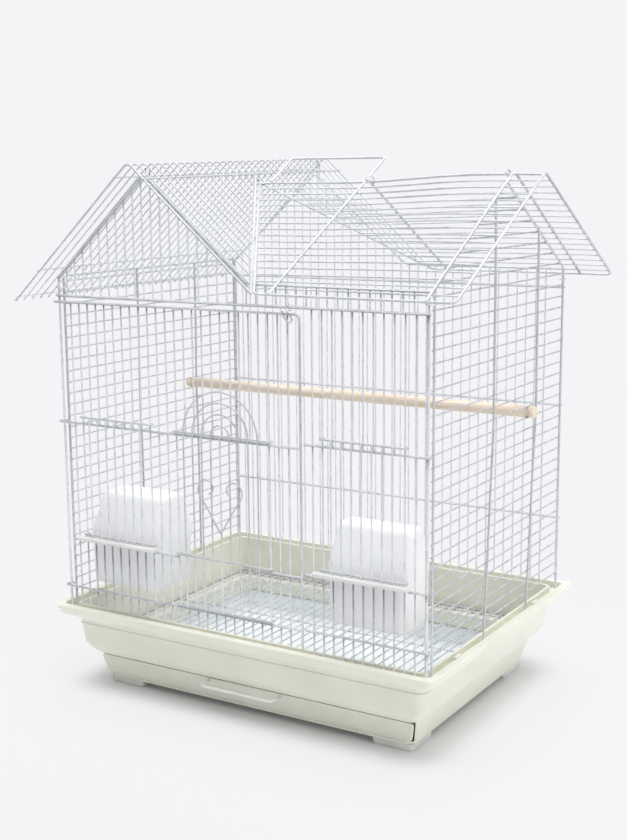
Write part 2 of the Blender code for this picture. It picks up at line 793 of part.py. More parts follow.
def build_rainbow_door():
    """Bird door with four arches over its top bar, like a rainbow."""
    y = door_y() - SLIDE_STEP
    wires = door_wires()
    first, last = RAINBOW_LOOPS
    legs = wires[first + 1:last]
    half = len(legs) // 2
    centre = legs[half]
    low = LOW_RAIL + RAINBOW_LIFT
    middle = FEEDER_RAIL + RAINBOW_LIFT
    top = MIDDLE_RAIL + RAINBOW_LIFT
    reach = (wires[first] - WIRE * 1.4, wires[last] + WIRE * 1.4)
    bars = [(x, WIRE) for x in legs]
    stations = edges_of(bars, reach)
    lines = rail_lines((low, middle, top))

    def solid(i, j):
        return j in (0, 2, 4) or inside((stations[i] + stations[i + 1]) / 2, bars)

    item = lattice("rainbow_door", stations, lines, solid, lambda x, z: (x, y, z), WIRE)
    spring = top + FRAME_WIRE / 2
    dip = math.radians(2)
    turns = series(-dip, (math.pi + 2 * dip) / ARCH_STEPS, ARCH_STEPS + 1)
    radii = rail_lines([legs[half + k] - centre for k in range(1, half + 1)], WIRE)
    arches = lattice(
        "rainbow_arches", turns, radii, lambda i, j: j % 2 == 0,
        lambda a, r: (centre + r * math.cos(a), y, spring + r * math.sin(a)), WIRE * 0.98,
    )
    combine(item, arches, "UNION")
    slide_loops(item, "rainbow_door", wires, RAINBOW_LOOPS, (middle, top), door_y())
    build_heart(centre, y)
    return item


def build_heart(centre, y):
    """Open wire heart with curled ends, in front of the rainbow door's wires."""
    lobe = 0.0125
    height = 0.2390
    tip = 0.2020
    front = y - WIRE / 2 - GAP - WIRE / 2
    points = []
    for side in (-1, 1):
        middle = centre + side * (lobe + 0.0040)
        turn = [math.radians(a) for a in range(-60, 211, 30)]
        half = [
            (middle - side * lobe * math.cos(a) * (0.62 if a < 0 else 1.0), front, height + lobe * math.sin(a))
            for a in turn
        ]
        if side > 0:
            half.reverse()
        else:
            half.append((centre, front, tip))
        points += half
    rod("rainbow_door_heart", points, WIRE)


def feeder_mesh():
    """Feeder: a cup under a hood that is open towards the birds, with a shelf lip in front."""
    lip_top = LIP_THICKNESS

    def hood_shape(wall, past):
        levels = (
            (HOOD_HALF_BOTTOM, HOOD_DEPTH + past, lip_top - past / 2),
            (HOOD_HALF_BOTTOM, HOOD_DEPTH + past, lip_top + HOOD_EDGE - wall),
            (HOOD_HALF_TOP, HOOD_TOP_DEPTH + past, lip_top + HOOD_HEIGHT - wall),
        )
        return [
            [(-half + wall, HOOD_SETBACK + wall, z), (half - wall, HOOD_SETBACK + wall, z),
             (half - wall, back, z), (-half + wall, back, z)]
            for half, back, z in levels
        ]

    hood = loft("feeder_body", hood_shape(0.0, 0.0), FEEDER_WHITE)
    cup = block("feeder_cup", (-CUP_HALF, HOOD_SETBACK, -CUP_DROP),
                (CUP_HALF, HOOD_SETBACK + CUP_DEPTH, lip_top + 0.0005), None)
    rim = block("feeder_rim", (-HOOD_HALF_BOTTOM, HOOD_SETBACK, 0.0),
                (HOOD_HALF_BOTTOM, HOOD_DEPTH, lip_top), None)
    root = -(WIRE + 2 * GAP)
    lip_low = [(-LIP_HALF_FRONT, -LIP_REACH, 0.0), (LIP_HALF_FRONT, -LIP_REACH, 0.0),
               (LIP_HALF_ROOT, root, 0.0), (-LIP_HALF_ROOT, root, 0.0)]
    neck = block("feeder_neck", (-NECK_HALF, root - FEEDER_WALL, 0.0), (NECK_HALF, HOOD_SETBACK + FEEDER_WALL / 2, lip_top), None)
    lip_high = [(x, y, lip_top) for x, y, _ in lip_low]
    lip = loft("feeder_lip", [lip_low, lip_high], None)
    inner_cup = block(
        "feeder_cup_inside",
        (-CUP_HALF + FEEDER_WALL, HOOD_SETBACK + FEEDER_WALL, -CUP_DROP + FEEDER_WALL),
        (CUP_HALF - FEEDER_WALL, HOOD_SETBACK + CUP_DEPTH - FEEDER_WALL, lip_top + 0.0030),
        None,
    )
    inner_hood = loft("feeder_hood_inside", hood_shape(FEEDER_WALL, FEEDER_WALL * 2), None)
    for other in (cup, rim, neck, lip):
        combine(hood, other, "UNION")
    combine(hood, inner_cup, "DIFFERENCE")
    combine(hood, inner_hood, "DIFFERENCE")
    graph = bpy.context.evaluated_depsgraph_get()
    data = bpy.data.meshes.new_from_object(hood.evaluated_get(graph))
    data.name = "feeder"
    bpy.data.objects.remove(hood, do_unlink=True)
    return data


def build_feeders():
    """Two like feeders, each on its feeder rail."""
    data = feeder_mesh()
    door = door_wires()
    fixed = right_wires()
    for name, wires, loops, rail, panel_y in (
        ("left_feeder", door, LEFT_FEEDER_LOOPS, FEEDER_RAIL, door_y()),
        ("right_feeder", fixed, RIGHT_FEEDER_LOOPS, FEEDER_RAIL_RIGHT, front_panel_y()),
    ):
        centre = (wires[loops[0]] + wires[loops[1]]) / 2
        item = bpy.data.objects.new(name, data)
        collection(COLLECTION).objects.link(item)
        item.location = (centre, panel_y + WIRE / 2 + GAP, rail + FRAME_WIRE / 2 + GAP)


def build_perch():
    """Round wooden perch with notches at its ends for two wires of each side panel."""
    rows = side_rows()
    z = (rows[PERCH_ROW] + rows[PERCH_ROW + 1]) / 2
    reach = HALF_WIDTH + PERCH_OVERHANG
    bm = bmesh.new()
    bmesh.ops.create_cone(bm, cap_ends=True, segments=12, radius1=PERCH_RADIUS,
                          radius2=PERCH_RADIUS, depth=2 * reach)
    turn = Matrix.Translation((0, PERCH_Y, z)) @ Matrix.Rotation(math.pi / 2, 4, "Y")
    bmesh.ops.transform(bm, matrix=turn, verts=bm.verts)
    perch = add_object("perch", mesh_from(bm, "perch"), BEECH)
    for side in (-1, 1):
        for up in (-1, 1):
            root = z + up * (SIDE_PITCH / 2 - WIRE / 2 - GAP)
            zs = sorted((root, root + up * 0.01))
            x = side * HALF_WIDTH
            wide = WIRE / 2 + GAP
            notch = block("perch_notch", (x - wide, PERCH_Y - 0.02, zs[0]), (x + wide, PERCH_Y + 0.02, zs[1]), None)
            combine(perch, notch, "DIFFERENCE")


def build_latch():
    """Latch that turns on the upper rail, over the top wire of the large door."""
    x = 0.0700
    centre = (x, front_panel_y(), UPPER_RAIL)
    latch = ring("latch_hook", centre, (1, 0, 0), FRAME_WIRE * 0.75 + LOOP_GAP * 0.6, RING_WIRE)
    hang_on_axis(latch, centre)


def build_clip_rings():
    """Rings that tie the panels and the roofs to each other."""
    under = gable_z(TALL_RIDGE_X) - RAKE_HEIGHT - 2 * GAP
    over = TALL_RIDGE_Z + WIRE * 0.7 + 2 * GAP
    apex = (under + over) / 2
    inner = (over - under) / 2
    reach = ROOF_HALF_DEPTH - WIRE / 2
    pitch = 2 * reach / (ROOF_WIRES - 1)
    far = HALF_DEPTH - DOOR_SETBACK + FRAME_WIRE / 2
    height = side_rows()[-1] - SIDE_PITCH / 2
    for name, side in (("front", -1), ("back", 1)):
        wire_y = side * (reach - 2 * pitch)
        panel = front_panel_y() if side < 0 else -front_panel_y()
        wide = WIRE + 2 * GAP + RING_WIRE / 2
        tall = inner + RING_WIRE * 0.6
        shoulder = tall - wide * 0.6
        centre = Vector((TALL_RIDGE_X, (wire_y + panel) / 2, apex))
        corners = ((wide, -shoulder), (wide, shoulder), (wide * 0.6, tall), (-wide * 0.6, tall),
                   (-wide, shoulder), (-wide, -shoulder), (-wide * 0.6, -tall), (wide * 0.6, -tall))
        oval = [centre + Vector((0, across, up)) for across, up in corners]
        rod(f"clip_ring_{name}_gable", oval, RING_WIRE, ZINC, cyclic=True)
        near = HALF_DEPTH - (SIDE_INSET if side < 0 else SIDE_BACK_INSET) - FRAME_WIRE
        middle, hold = (near + far) / 2, (far - near) / 2 + 2 * GAP
        for hand, x in (("left", -1), ("right", 1)):
            ring(f"clip_ring_{name}_{hand}", (x * HALF_WIDTH, side * middle, height), (0, 0, 1), hold, RING_WIRE)
    for name, x in (("left", valley_x(0.0) + 0.0100), ("middle", LID_SUPPORTS[0] + 0.0060),
                    ("right", LID_SUPPORTS[1] - 0.0060)):
        ring(f"ridge_ring_{name}", (x, 0.0, LOW_RIDGE_Z), (1, 0, 0),
             FRAME_WIRE / 2 + LOOP_GAP + WIRE * 0.75 + GAP, RING_WIRE)


def build_rim_clips():
    """Small plastic clips that hold the side panels down in the rim's channel."""
    for hand, side in (("left", -1), ("right", 1)):
        for place, y in zip(("front", "back"), RIM_CLIP_Y):
            x = side * (HALF_WIDTH + WIRE + GAP * 2)
            xs = sorted((x, side * (HALF_WIDTH + CHANNEL_OUTER - GAP)))
            block(f"rim_clip_{hand}_{place}", (xs[0], y - 0.006, CHANNEL_FLOOR + GAP),
                  (xs[1], y + 0.006, RIM_TOP + 0.001), IVORY)


def main():
    """Build the whole cage."""
    clear_scene()
    build_base()
    build_feet()
    build_drawer()
    build_grille()
    build_front_panel()
    build_back_panel()
    build_side_panel("left_panel", -1)
    build_side_panel("right_panel", 1)
    build_tall_roof()
    build_low_roof("roof_lid", -1)
    build_low_roof("low_roof_back", 1)
    build_stop_loop()
    hang_lid()
    build_front_door()
    door = door_wires()
    fixed = right_wires()
    lift = FRAME_WIRE + LIP_THICKNESS + 2 * GAP
    build_feeder_door("left_feeder_door", door, LEFT_FEEDER_LOOPS, FEEDER_RAIL + lift,
                      MIDDLE_RAIL + lift, door_y())
    build_feeder_door("right_feeder_door", fixed, RIGHT_FEEDER_LOOPS, FEEDER_RAIL_RIGHT + lift,
                      MIDDLE_RAIL_RIGHT + lift, front_panel_y())
    build_rainbow_door()
    build_feeders()
    build_perch()
    build_latch()
    build_clip_rings()
    build_rim_clips()


main()
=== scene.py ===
"""Wire bird cage with a cross-gabled roof: its pieces, finishes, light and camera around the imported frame."""

import logging
import math
from dataclasses import dataclass, field
from enum import Enum
from functools import cached_property
from typing import Optional, Sequence

import bpy
import numpy as np
from mathutils import Matrix, Vector


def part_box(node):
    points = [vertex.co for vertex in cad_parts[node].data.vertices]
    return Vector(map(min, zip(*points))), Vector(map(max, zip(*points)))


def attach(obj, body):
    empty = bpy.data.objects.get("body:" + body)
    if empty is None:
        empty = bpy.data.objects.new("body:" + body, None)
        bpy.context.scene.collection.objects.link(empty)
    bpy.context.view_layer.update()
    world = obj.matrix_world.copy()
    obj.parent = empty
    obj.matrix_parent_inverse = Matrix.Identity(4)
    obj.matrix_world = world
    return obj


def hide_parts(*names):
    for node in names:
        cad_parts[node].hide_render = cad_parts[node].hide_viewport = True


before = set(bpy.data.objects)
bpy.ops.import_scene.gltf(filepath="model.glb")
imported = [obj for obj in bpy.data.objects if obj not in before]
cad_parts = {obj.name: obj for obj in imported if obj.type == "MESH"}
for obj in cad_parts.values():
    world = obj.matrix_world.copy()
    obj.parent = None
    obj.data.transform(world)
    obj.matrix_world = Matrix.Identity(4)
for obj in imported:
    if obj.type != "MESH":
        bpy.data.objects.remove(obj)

logging.basicConfig(level=logging.INFO, format="%(message)s")
log = logging.getLogger("bird_cage")

Array = np.ndarray
Item = bpy.types.Object
Material = bpy.types.Material
Node = bpy.types.Node
Point = tuple[float, float, float]
Tree = bpy.types.NodeTree

# Wire radii in metres, and the faces round a wire
THIN = 0.00077
FRONT = 0.00084
FRAME = 0.00125
RING = 0.00058
POST_RADIUS = 0.00112
SIDES = 8
# A round end's small circles: how far out they lie and how large they are, in wire radii
DOME_OUT = np.array([0.98, 0.70, 0.0])
DOME_SIZE = np.array([0.22, 0.72, 1.0])

# Wire body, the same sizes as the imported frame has
HALF_WIDTH = 0.2145
HALF_DEPTH = 0.1617
RIM_TOP = 0.0933
CHANNEL_FLOOR = 0.0863
LOW_RAIL = 0.1135
FEEDER_RAIL = 0.1667
FEEDER_RAIL_RIGHT = 0.1698
MIDDLE_RAIL = 0.2929
MIDDLE_RAIL_RIGHT = 0.2968
DOOR_TOP = 0.4196
UPPER_RAIL = 0.4256
WALL_TOP = 0.4467
DOOR_FRAME_X = 0.0829

DOOR_WIRES = -0.1971 + 0.01107 * np.arange(25)
RIGHT_WIRES = 0.0934 + 0.01087 * np.arange(12)
# Wires of a panel at its doorways: a sliding door's bars curl round the first and the last
FEEDER_WIRES = np.arange(1, 10)
RAINBOW_WIRES = np.arange(12, 23)
SIDE_FOOT = 0.1070
SIDE_PITCH = 0.0119
SIDE_FRONT = 0.1512
SIDE_BACK = 0.1583

# Drawer front: its heights and its half widths there
DRAWER_LOW = 0.0105
DRAWER_HIGH = 0.0330
DRAWER_HALF_LOW = 0.1862
DRAWER_HALF_HIGH = 0.1915

# Roofs
ROOF_HALF_WIDTH = 0.2530
ROOF_HALF_DEPTH = 0.1850
TALL_RIDGE_X = -0.0975
TALL_RIDGE_Z = 0.5589
TALL_EAVE_Z = 0.4208
TALL_RISE = 0.0085
TALL_RISE_REACH = 0.1555
VALLEY_FOOT_X = 0.0452
VALLEY_FOOT_Z = 0.4374
VALLEY_FALL = (TALL_RIDGE_Z - VALLEY_FOOT_Z) / (VALLEY_FOOT_X - TALL_RIDGE_X)
VALLEY_LEAN = 0.0085
LOW_RIDGE_Z = 0.5447
ROOF_REACH = 0.1860
GABLE_DROP = 0.0090
RAKE_DROP = 0.0012
POST_DROP = 0.0016
LID_SUPPORTS = (0.0634, 0.2241)


class Ends(Enum):
    """How a wire stops: the width of its end, in widths of the wire."""

    ROUND = 1.0
    BEAD = 1.45


class Hand(Enum):
    """Side of the cage, as the sign of its X."""

    LEFT = -1
    RIGHT = 1


@dataclass(frozen=True)
class Layer:
    """Depths of one front panel's wires, rails and small sliding door, as Y in metres."""

    wire: float
    rail: float
    bar: float
    leg: float


FIXED = Layer(wire=-0.1597, rail=-0.1611, bar=-0.1622, leg=-0.1635)
DOOR = Layer(wire=-0.1626, rail=-0.1641, bar=-0.1651, leg=-0.1665)


@dataclass
class Surface:
    """Points and faces gathered for one piece."""

    points: list[Array] = field(default_factory=list)
    faces: list[Array] = field(default_factory=list)
    count: int = 0

    def add(self, points: Array, *faces: Array) -> "Surface":
        """Adds points with the faces that join them.

        Args:
            points: array whose last axis is X, Y and Z.
            faces: arrays of shape (m, k) that index the new points.

        Returns:
            This surface.
        """
        flat = np.reshape(points, (-1, 3))
        self.points.append(flat)
        self.faces.extend(part + self.count for part in faces)
        self.count += len(flat)
        return self

    def piece(self, name: str, finish: Material) -> Item:
        """Makes the mesh object, shaded smoothly.

        Args:
            name: name of the piece.
            finish: its material.

        Returns:
            The new object.
        """
        mesh = bpy.data.meshes.new(name)
        faces = [face for part in self.faces for face in part.tolist()]
        mesh.from_pydata(np.concatenate(self.points).tolist(), [], faces)
        mesh.validate()
        mesh.shade_smooth()
        mesh.materials.append(finish)
        return linked(name, mesh)


def linked(name: str, data: bpy.types.ID) -> Item:
    """Puts a mesh, lamp or camera into the scene as a new object."""
    item = bpy.data.objects.new(name, data)
    bpy.context.scene.collection.objects.link(item)
    return item


def unit(vectors: Array) -> Array:
    """Vectors divided by their lengths."""
    return vectors / np.maximum(np.linalg.norm(vectors, axis=-1, keepdims=True), 1e-12)


def wire(surface: Surface, paths: Array, radius: float, across: Optional[Sequence[float]] = None,
         closed: bool = False, ends: Ends = Ends.ROUND, sides: int = SIDES) -> Surface:
    """Adds round wires along flat paths.

    Each point P of a path becomes a circle P + r (cos a · A + sin a · (A turned along the wire)),
    where A is square to the plane of the path. An open wire ends in two smaller circles, so it
    closes as a dome, or as a small ball where it ends in a bead of the coating.

    Args:
        surface: the surface that takes the wires.
        paths: array of shape (n, k, 3) or (k, 3).
        radius: radius of the wire in metres.
        across: direction square to the path; worked out for straight wires if not given.
        closed: whether the last point joins the first.
        ends: how open wires stop.
        sides: faces round the wire.

    Returns:
        The surface.
    """
    paths = np.reshape(paths, (-1, *np.shape(paths)[-2:]))
    scale = np.ones(paths.shape[1])
    if closed:
        along = unit(np.roll(paths, -1, 1) - np.roll(paths, 1, 1))
    else:
        along = unit(np.gradient(paths, axis=1))
        out = DOME_OUT * radius * ends.value
        size = DOME_SIZE * ends.value
        head = paths[:, :1] - along[:, :1] * out[None, :, None]
        tail = paths[:, -1:] + along[:, -1:] * out[None, ::-1, None]
        paths = np.concatenate([head, paths, tail], 1)
        along = np.pad(along, ((0, 0), (3, 3), (0, 0)), "edge")
        scale = np.concatenate([size, scale, size[::-1]])
    if across is None:
        upright = np.abs(along[:, :1, 2:]) > 0.9
        across = np.cross(along[:, :1], np.where(upright, [1.0, 0.0, 0.0], [0.0, 0.0, 1.0]))
    side = np.broadcast_to(unit(np.asarray(across, float)), along.shape)
    turned = np.cross(along, side)
    angle = np.arange(sides) * (2 * math.pi / sides)
    circle = np.cos(angle)[:, None] * side[:, :, None] + np.sin(angle)[:, None] * turned[:, :, None]
    points = paths[:, :, None] + circle * (radius * scale)[None, :, None, None]
    index = np.arange(points.size // 3).reshape(points.shape[:3])
    after = np.roll(index, -1, 2)
    if closed:
        quads = np.stack([index, after, np.roll(after, -1, 1), np.roll(index, -1, 1)], -1)
        return surface.add(points, quads.reshape(-1, 4))
    quads = np.stack([index[:, :-1], after[:, :-1], after[:, 1:], index[:, 1:]], -1)
    return surface.add(points, quads.reshape(-1, 4), index[:, 0, ::-1], index[:, -1])


def column(*parts: object) -> Array:
    """Stacks numbers and arrays as the X, Y and Z of points."""
    return np.stack(np.broadcast_arrays(*[np.asarray(part, float) for part in parts]), -1)


def rods(surface: Surface, starts: Array, stops: Array, radius: float) -> Surface:
    """Adds straight wires from starts to stops, arrays that broadcast to (n, 3)."""
    starts, stops = np.broadcast_arrays(starts, stops)
    return wire(surface, np.stack([starts.reshape(-1, 3), stops.reshape(-1, 3)], 1), radius)


def uprights(surface: Surface, x: Array, y: float, low: float, high: object, radius: float) -> Surface:
    """Adds upright wires at each X, from one height to another."""
    return rods(surface, column(x, y, low), column(x, y, high), radius)


def bend(points: Sequence[Sequence[float]], radius: float, steps: int = 6) -> Array:
    """Rounds the inner corners of one path or of an array of paths.

    Each corner C between A and B becomes (1-t)² A' + 2t(1-t) C + t² B', where A' and B' lie at the
    given distance from C.

    Args:
        points: the corners, ends included.
        radius: how far from a corner the curve starts.
        steps: points on each curve.

    Returns:
        Array of shape (k, 3), or (n, k, 3) where n paths were given.
    """
    corners = np.asarray(points, float)
    middle = corners[..., 1:-1, None, :]
    back = middle + unit(corners[..., :-2, None, :] - middle) * radius
    on = middle + unit(corners[..., 2:, None, :] - middle) * radius
    t = np.linspace(0, 1, steps)[:, None]
    curve = (1 - t) ** 2 * back + 2 * t * (1 - t) * middle + t**2 * on
    curve = curve.reshape(*corners.shape[:-2], -1, 3)
    return np.concatenate([corners[..., :1, :], curve, corners[..., -1:, :]], -2)


def flowing(points: Sequence[Sequence[float]], steps: int = 5) -> Array:
    """Smooth path through points: the Catmull-Rom cubic of each point and its neighbours."""
    p = np.asarray(points, float)
    p = np.concatenate([2 * p[:1] - p[1:2], p, 2 * p[-1:] - p[-2:-1]])
    a, b, c, d = p[:-3, None], p[1:-2, None], p[2:-1, None], p[3:, None]
    t = (np.arange(steps) / steps)[None, :, None]
    curve = 0.5 * (2 * b + (c - a) * t + (2 * a - 5 * b + 4 * c - d) * t**2 + (3 * b - a - 3 * c + d) * t**3)
    return np.concatenate([curve.reshape(-1, 3), p[-2:-1]])


def normal_of(path: Array) -> Array:
    """Direction square to a flat path, from its first, middle and last points."""
    return unit(np.cross(path[len(path) // 2] - path[0], path[-1] - path[0]))


def rounded_rings(half_x: object, half_y: object, radius: object, z: object,
                  centre: tuple[object, object] = (0.0, 0.0), steps: int = 7) -> Array:
    """Rounded rectangles at rising levels: corner centre + r (cos a, sin a), a quarter turn at each corner.

    Args:
        half_x: half sizes along X, one for all levels or one for each, as all the others.
        half_y: half sizes along Y.
        radius: corner radii.
        z: heights.
        centre: X and Y of the middle.
        steps: points on each corner.

    Returns:
        Array of shape (levels, 4 · steps, 3), anticlockwise seen from above.
    """
    sizes = (half_x, half_y, radius, z, *centre)
    half_x, half_y, radius, z, middle_x, middle_y = (np.asarray(size, float).reshape(-1, 1) for size in sizes)
    angle = np.radians((np.arange(4)[:, None] * 90 + np.linspace(0, 90, steps)).ravel())
    sign_x = np.repeat([1, -1, -1, 1], steps)
    sign_y = np.repeat([1, 1, -1, -1], steps)
    x = sign_x * (half_x - radius) + radius * np.cos(angle) + middle_x
    y = sign_y * (half_y - radius) + radius * np.sin(angle) + middle_y
    return column(x, y, z)


def skin(rings: Array) -> Surface:
    """Closed skin through rings of equal count, with a flat face at each end."""
    index = np.arange(rings.size // 3).reshape(rings.shape[:2])
    after = np.roll(index, -1, 1)
    quads = np.stack([index[:-1], after[:-1], after[1:], index[1:]], -1).reshape(-1, 4)
    return Surface().add(rings, quads, index[:1, ::-1], index[-1:])


def block(name: str, finish: Material, *sizes: object, steps: int = 7) -> Item:
    """Makes the solid whose levels are rounded rectangles, with sizes in the order of rounded_rings."""
    return skin(rounded_rings(*sizes, steps=steps)).piece(name, finish)


def box_of(name: str) -> tuple[Array, Array]:
    """Middle and half size of a CAD node's box."""
    low, high = (np.array(corner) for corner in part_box(name))
    return (low + high) / 2, (high - low) / 2


def cut(item: Item, tools: Sequence[Item], operation: str) -> None:
    """Joins tools to a piece's mesh or cuts them from it, and removes them."""
    for tool in tools:
        change = item.modifiers.new("change", "BOOLEAN")
        change.operation, change.solver, change.object = operation, "EXACT", tool
        bpy.context.view_layer.update()
        graph = bpy.context.evaluated_depsgraph_get()
        mesh = bpy.data.meshes.new_from_object(item.evaluated_get(graph))
        item.modifiers.clear()
        item.data = mesh
        bpy.data.objects.remove(tool, do_unlink=True)


def soften(item: Item, width: float, angle: float = 32.0) -> None:
    """Rounds a moulded piece's edges and shades it smoothly between them."""
    rounder = item.modifiers.new("edges", "BEVEL")
    rounder.width, rounder.segments = width, 2
    rounder.limit_method, rounder.angle_limit = "ANGLE", math.radians(angle)
    rounder.harden_normals = True
    item.data.shade_smooth()


def seat(item: Item, body: str, slot: str, *nodes: str) -> None:
    """Makes a piece ride on its body, and hides the nodes that it stands for."""
    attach(item, body)
    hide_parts(*nodes)
    log.info("%-24s rides on %s, %d faces", item.name, body, len(item.data.polygons))


# Finishes


def linear(code: str) -> tuple[float, float, float, float]:
    """A colour written as sRGB hex, as linear red, green, blue and full alpha."""
    channels = [int(code[i:i + 2], 16) / 255 for i in (1, 3, 5)]
    return (*[c / 12.92 if c <= 0.04045 else ((c + 0.055) / 1.055) ** 2.4 for c in channels], 1.0)


def node(tree: Tree, kind: str, values: Optional[dict] = None, links: Optional[dict] = None,
         **settings: object) -> Node:
    """Adds a node with its settings, its values by socket and the sockets that feed it.

    Args:
        tree: the material's nodes.
        kind: the node's type, without the words that all shader nodes start with.
        values: value of each named or numbered input.
        links: output socket that feeds each named or numbered input.
        settings: the node's own settings.

    Returns:
        The new node.
    """
    new = tree.nodes.new("ShaderNode" + kind)
    for name, setting in settings.items():
        setattr(new, name, setting)
    for name, value in (values or {}).items():
        new.inputs[name].default_value = value
    for name, socket in (links or {}).items():
        tree.links.new(socket, new.inputs[name])
    return new


def empty_tree(owner: object) -> Tree:
    """Node tree of a new material or world, with its first nodes removed."""
    owner.use_nodes = True
    owner.node_tree.nodes.clear()
    return owner.node_tree


@dataclass(frozen=True)
class Finish:
    """A surface whose colour wanders between two tones and whose grain stands up a little.

    Grain and blotch are real sizes in millimetres; relief is the height of the grain.
    """

    name: str
    light: str
    dark: str
    roughness: float
    grain: float
    blotch: float
    relief: float
    metallic: float = 0.0
    stretch: Point = (1.0, 1.0, 1.0)
    subsurface: float = 0.0
    subsurface_reach: float = 0.01

    @cached_property
    def material(self) -> Material:
        """The material, made when it is first asked for."""
        material = bpy.data.materials.new(self.name)
        tree = empty_tree(material)
        place = node(tree, "TexCoord")
        mapping = node(tree, "Mapping", {"Scale": self.stretch}, {"Vector": place.outputs["Object"]})
        blotch = node(tree, "TexNoise", {"Scale": 1000 / self.blotch, "Detail": 3.0},
                      {"Vector": mapping.outputs[0]})
        grain = node(tree, "TexNoise", {"Scale": 1000 / self.grain, "Detail": 4.0, "Roughness": 0.6},
                     {"Vector": mapping.outputs[0]})
        colour = node(tree, "Mix", {6: linear(self.dark), 7: linear(self.light)},
                      {0: self.tone(tree, blotch, grain)}, data_type="RGBA")
        rough = node(tree, "MapRange", {"To Min": self.roughness - 0.05, "To Max": self.roughness + 0.07},
                     {"Value": blotch.outputs[0]})
        bump = node(tree, "Bump", {"Strength": 0.6, "Distance": self.relief / 1000},
                    {"Height": grain.outputs[0]})
        shader = node(tree, "BsdfPrincipled", {
            "Metallic": self.metallic, "IOR": 1.5, "Subsurface Weight": self.subsurface,
            "Subsurface Scale": self.subsurface_reach, "Subsurface Radius": (1.0, 1.0, 1.0),
        }, {"Base Color": colour.outputs[2], "Roughness": rough.outputs[0], "Normal": bump.outputs[0]})
        node(tree, "OutputMaterial", None, {"Surface": shader.outputs[0]})
        return material

    def tone(self, tree: Tree, blotch: Node, grain: Node) -> bpy.types.NodeSocket:
        """Share of the lighter tone: the blotches, stretched to the full range."""
        full = node(tree, "MapRange", {"From Min": 0.35, "From Max": 0.65}, {"Value": blotch.outputs[0]})
        return full.outputs[0]


@dataclass(frozen=True)
class Dowel(Finish):
    """Planed beech: fine long grain with short dark flecks."""

    def tone(self, tree: Tree, blotch: Node, grain: Node) -> bpy.types.NodeSocket:
        """Share of the lighter tone: half broad bands, half fine grain."""
        half = node(tree, "Math", {1: 0.5}, {0: blotch.outputs[0]}, operation="MULTIPLY")
        both = node(tree, "Math", {1: 0.5}, {0: grain.outputs[0], 2: half.outputs[0]},
                    operation="MULTIPLY_ADD")
        full = node(tree, "MapRange", {"From Min": 0.38, "From Max": 0.58}, {"Value": both.outputs[0]})
        return full.outputs[0]


# Epoxy powder coat over steel wire: smooth, slightly pebbled, cool white
COATED_WIRE = Finish(
    "powder_coated_steel_wire", "#C8CACF", "#BCBEC3", roughness=0.27, metallic=0.15, grain=0.9, blotch=18,
    relief=0.006)
# The drawer's handle has a thicker, whiter coat
HANDLE = Finish("white_coated_steel", "#F3F1EF", "#EBE9E7", roughness=0.35, grain=0.9, blotch=18, relief=0.02)
# Injection moulded polypropylene in ivory: satin, with faint flow marks
IVORY = Finish(
    "ivory_moulded_polypropylene", "#E8E8DB", "#E2E2D3", roughness=0.42, grain=0.7, blotch=60, relief=0.012,
    subsurface=0.08, subsurface_reach=0.004)
# The pull-out pan is a whiter, cooler moulding than the base
PAN = Finish(
    "white_moulded_polystyrene", "#F2F6F6", "#EAF0F1", roughness=0.38, grain=0.7, blotch=70, relief=0.012)
# Low density polythene of the feeders: milky, light goes into it and scatters
MILKY = Finish(
    "milky_polythene", "#F8F8F9", "#F4F4F5", roughness=0.42, grain=0.8, blotch=40, relief=0.01,
    subsurface=0.30, subsurface_reach=0.005)
# The feeders' lip is the same polythene in a greyer copy: shade painted into its colour, to damp the light that
# falls on it
LIP_PAINTED_SHADE = Finish(
    "milky_polythene_lip", "#DADBD9", "#D4D5D2", roughness=0.42, grain=0.8, blotch=40, relief=0.01,
    subsurface=0.30, subsurface_reach=0.004)
# Grey recycled polypropylene of the feet: dull
GREY = Finish(
    "grey_moulded_polypropylene", "#DFE0D9", "#D5D6CF", roughness=0.62, grain=0.6, blotch=20, relief=0.03)
# Planed beech dowel, untreated: grain runs along X, about 1 mm wide
BEECH = Dowel(
    "beech", "#EDDFCE", "#DBC7B0", roughness=0.68, grain=1.1, blotch=7, relief=0.12,
    stretch=(0.06, 1.0, 1.0))
# Zinc plated spring wire: bright grey metal with a soft shine
ZINC = Finish(
    "zinc_plated_steel", "#DCDEE1", "#C8CBD0", roughness=0.30, metallic=1.0, grain=0.4, blotch=6, relief=0.01)


# Roof surfaces


def tall_z(x: Array) -> Array:
    """Height of the tall roof: it falls from the ridge to the left eave and to the right valley."""
    left = (TALL_RIDGE_Z - TALL_EAVE_Z) / (TALL_RIDGE_X + ROOF_HALF_WIDTH)
    past = np.asarray(x, float) - TALL_RIDGE_X
    return TALL_RIDGE_Z + np.where(past < 0, left * past, -VALLEY_FALL * past)


def tall_height(x: Array, y: Array) -> Array:
    """Height of the tall roof as drawn: its ridge rises a little towards the back."""
    back = (np.asarray(y, float) / ROOF_HALF_DEPTH + 1) / 2
    near = 1 - np.clip(np.abs(np.asarray(x, float) - TALL_RIDGE_X) / TALL_RISE_REACH, 0, 1)
    return tall_z(x) + TALL_RISE * back * near


def nearness(y: Array) -> Array:
    """Share of the way up the low roof: 1 at its ridge and 0 at its front and back."""
    return 1 - np.abs(np.asarray(y, float)) / ROOF_REACH


def low_z(y: Array) -> Array:
    """Height of the low roof: it falls evenly from its ridge to the front and back."""
    return VALLEY_FOOT_Z + (LOW_RIDGE_Z - VALLEY_FOOT_Z) * nearness(y)


def low_height(x: Array, y: Array) -> Array:
    """Height of the low roof as drawn: its ridge hangs 5 mm at the first support and rises to the second."""
    t = np.clip((np.asarray(x, float) - 0.035) / 0.160, 0, 1)
    return low_z(y) + (-0.0052 + 0.0074 * t * t * (3 - 2 * t)) * nearness(y)


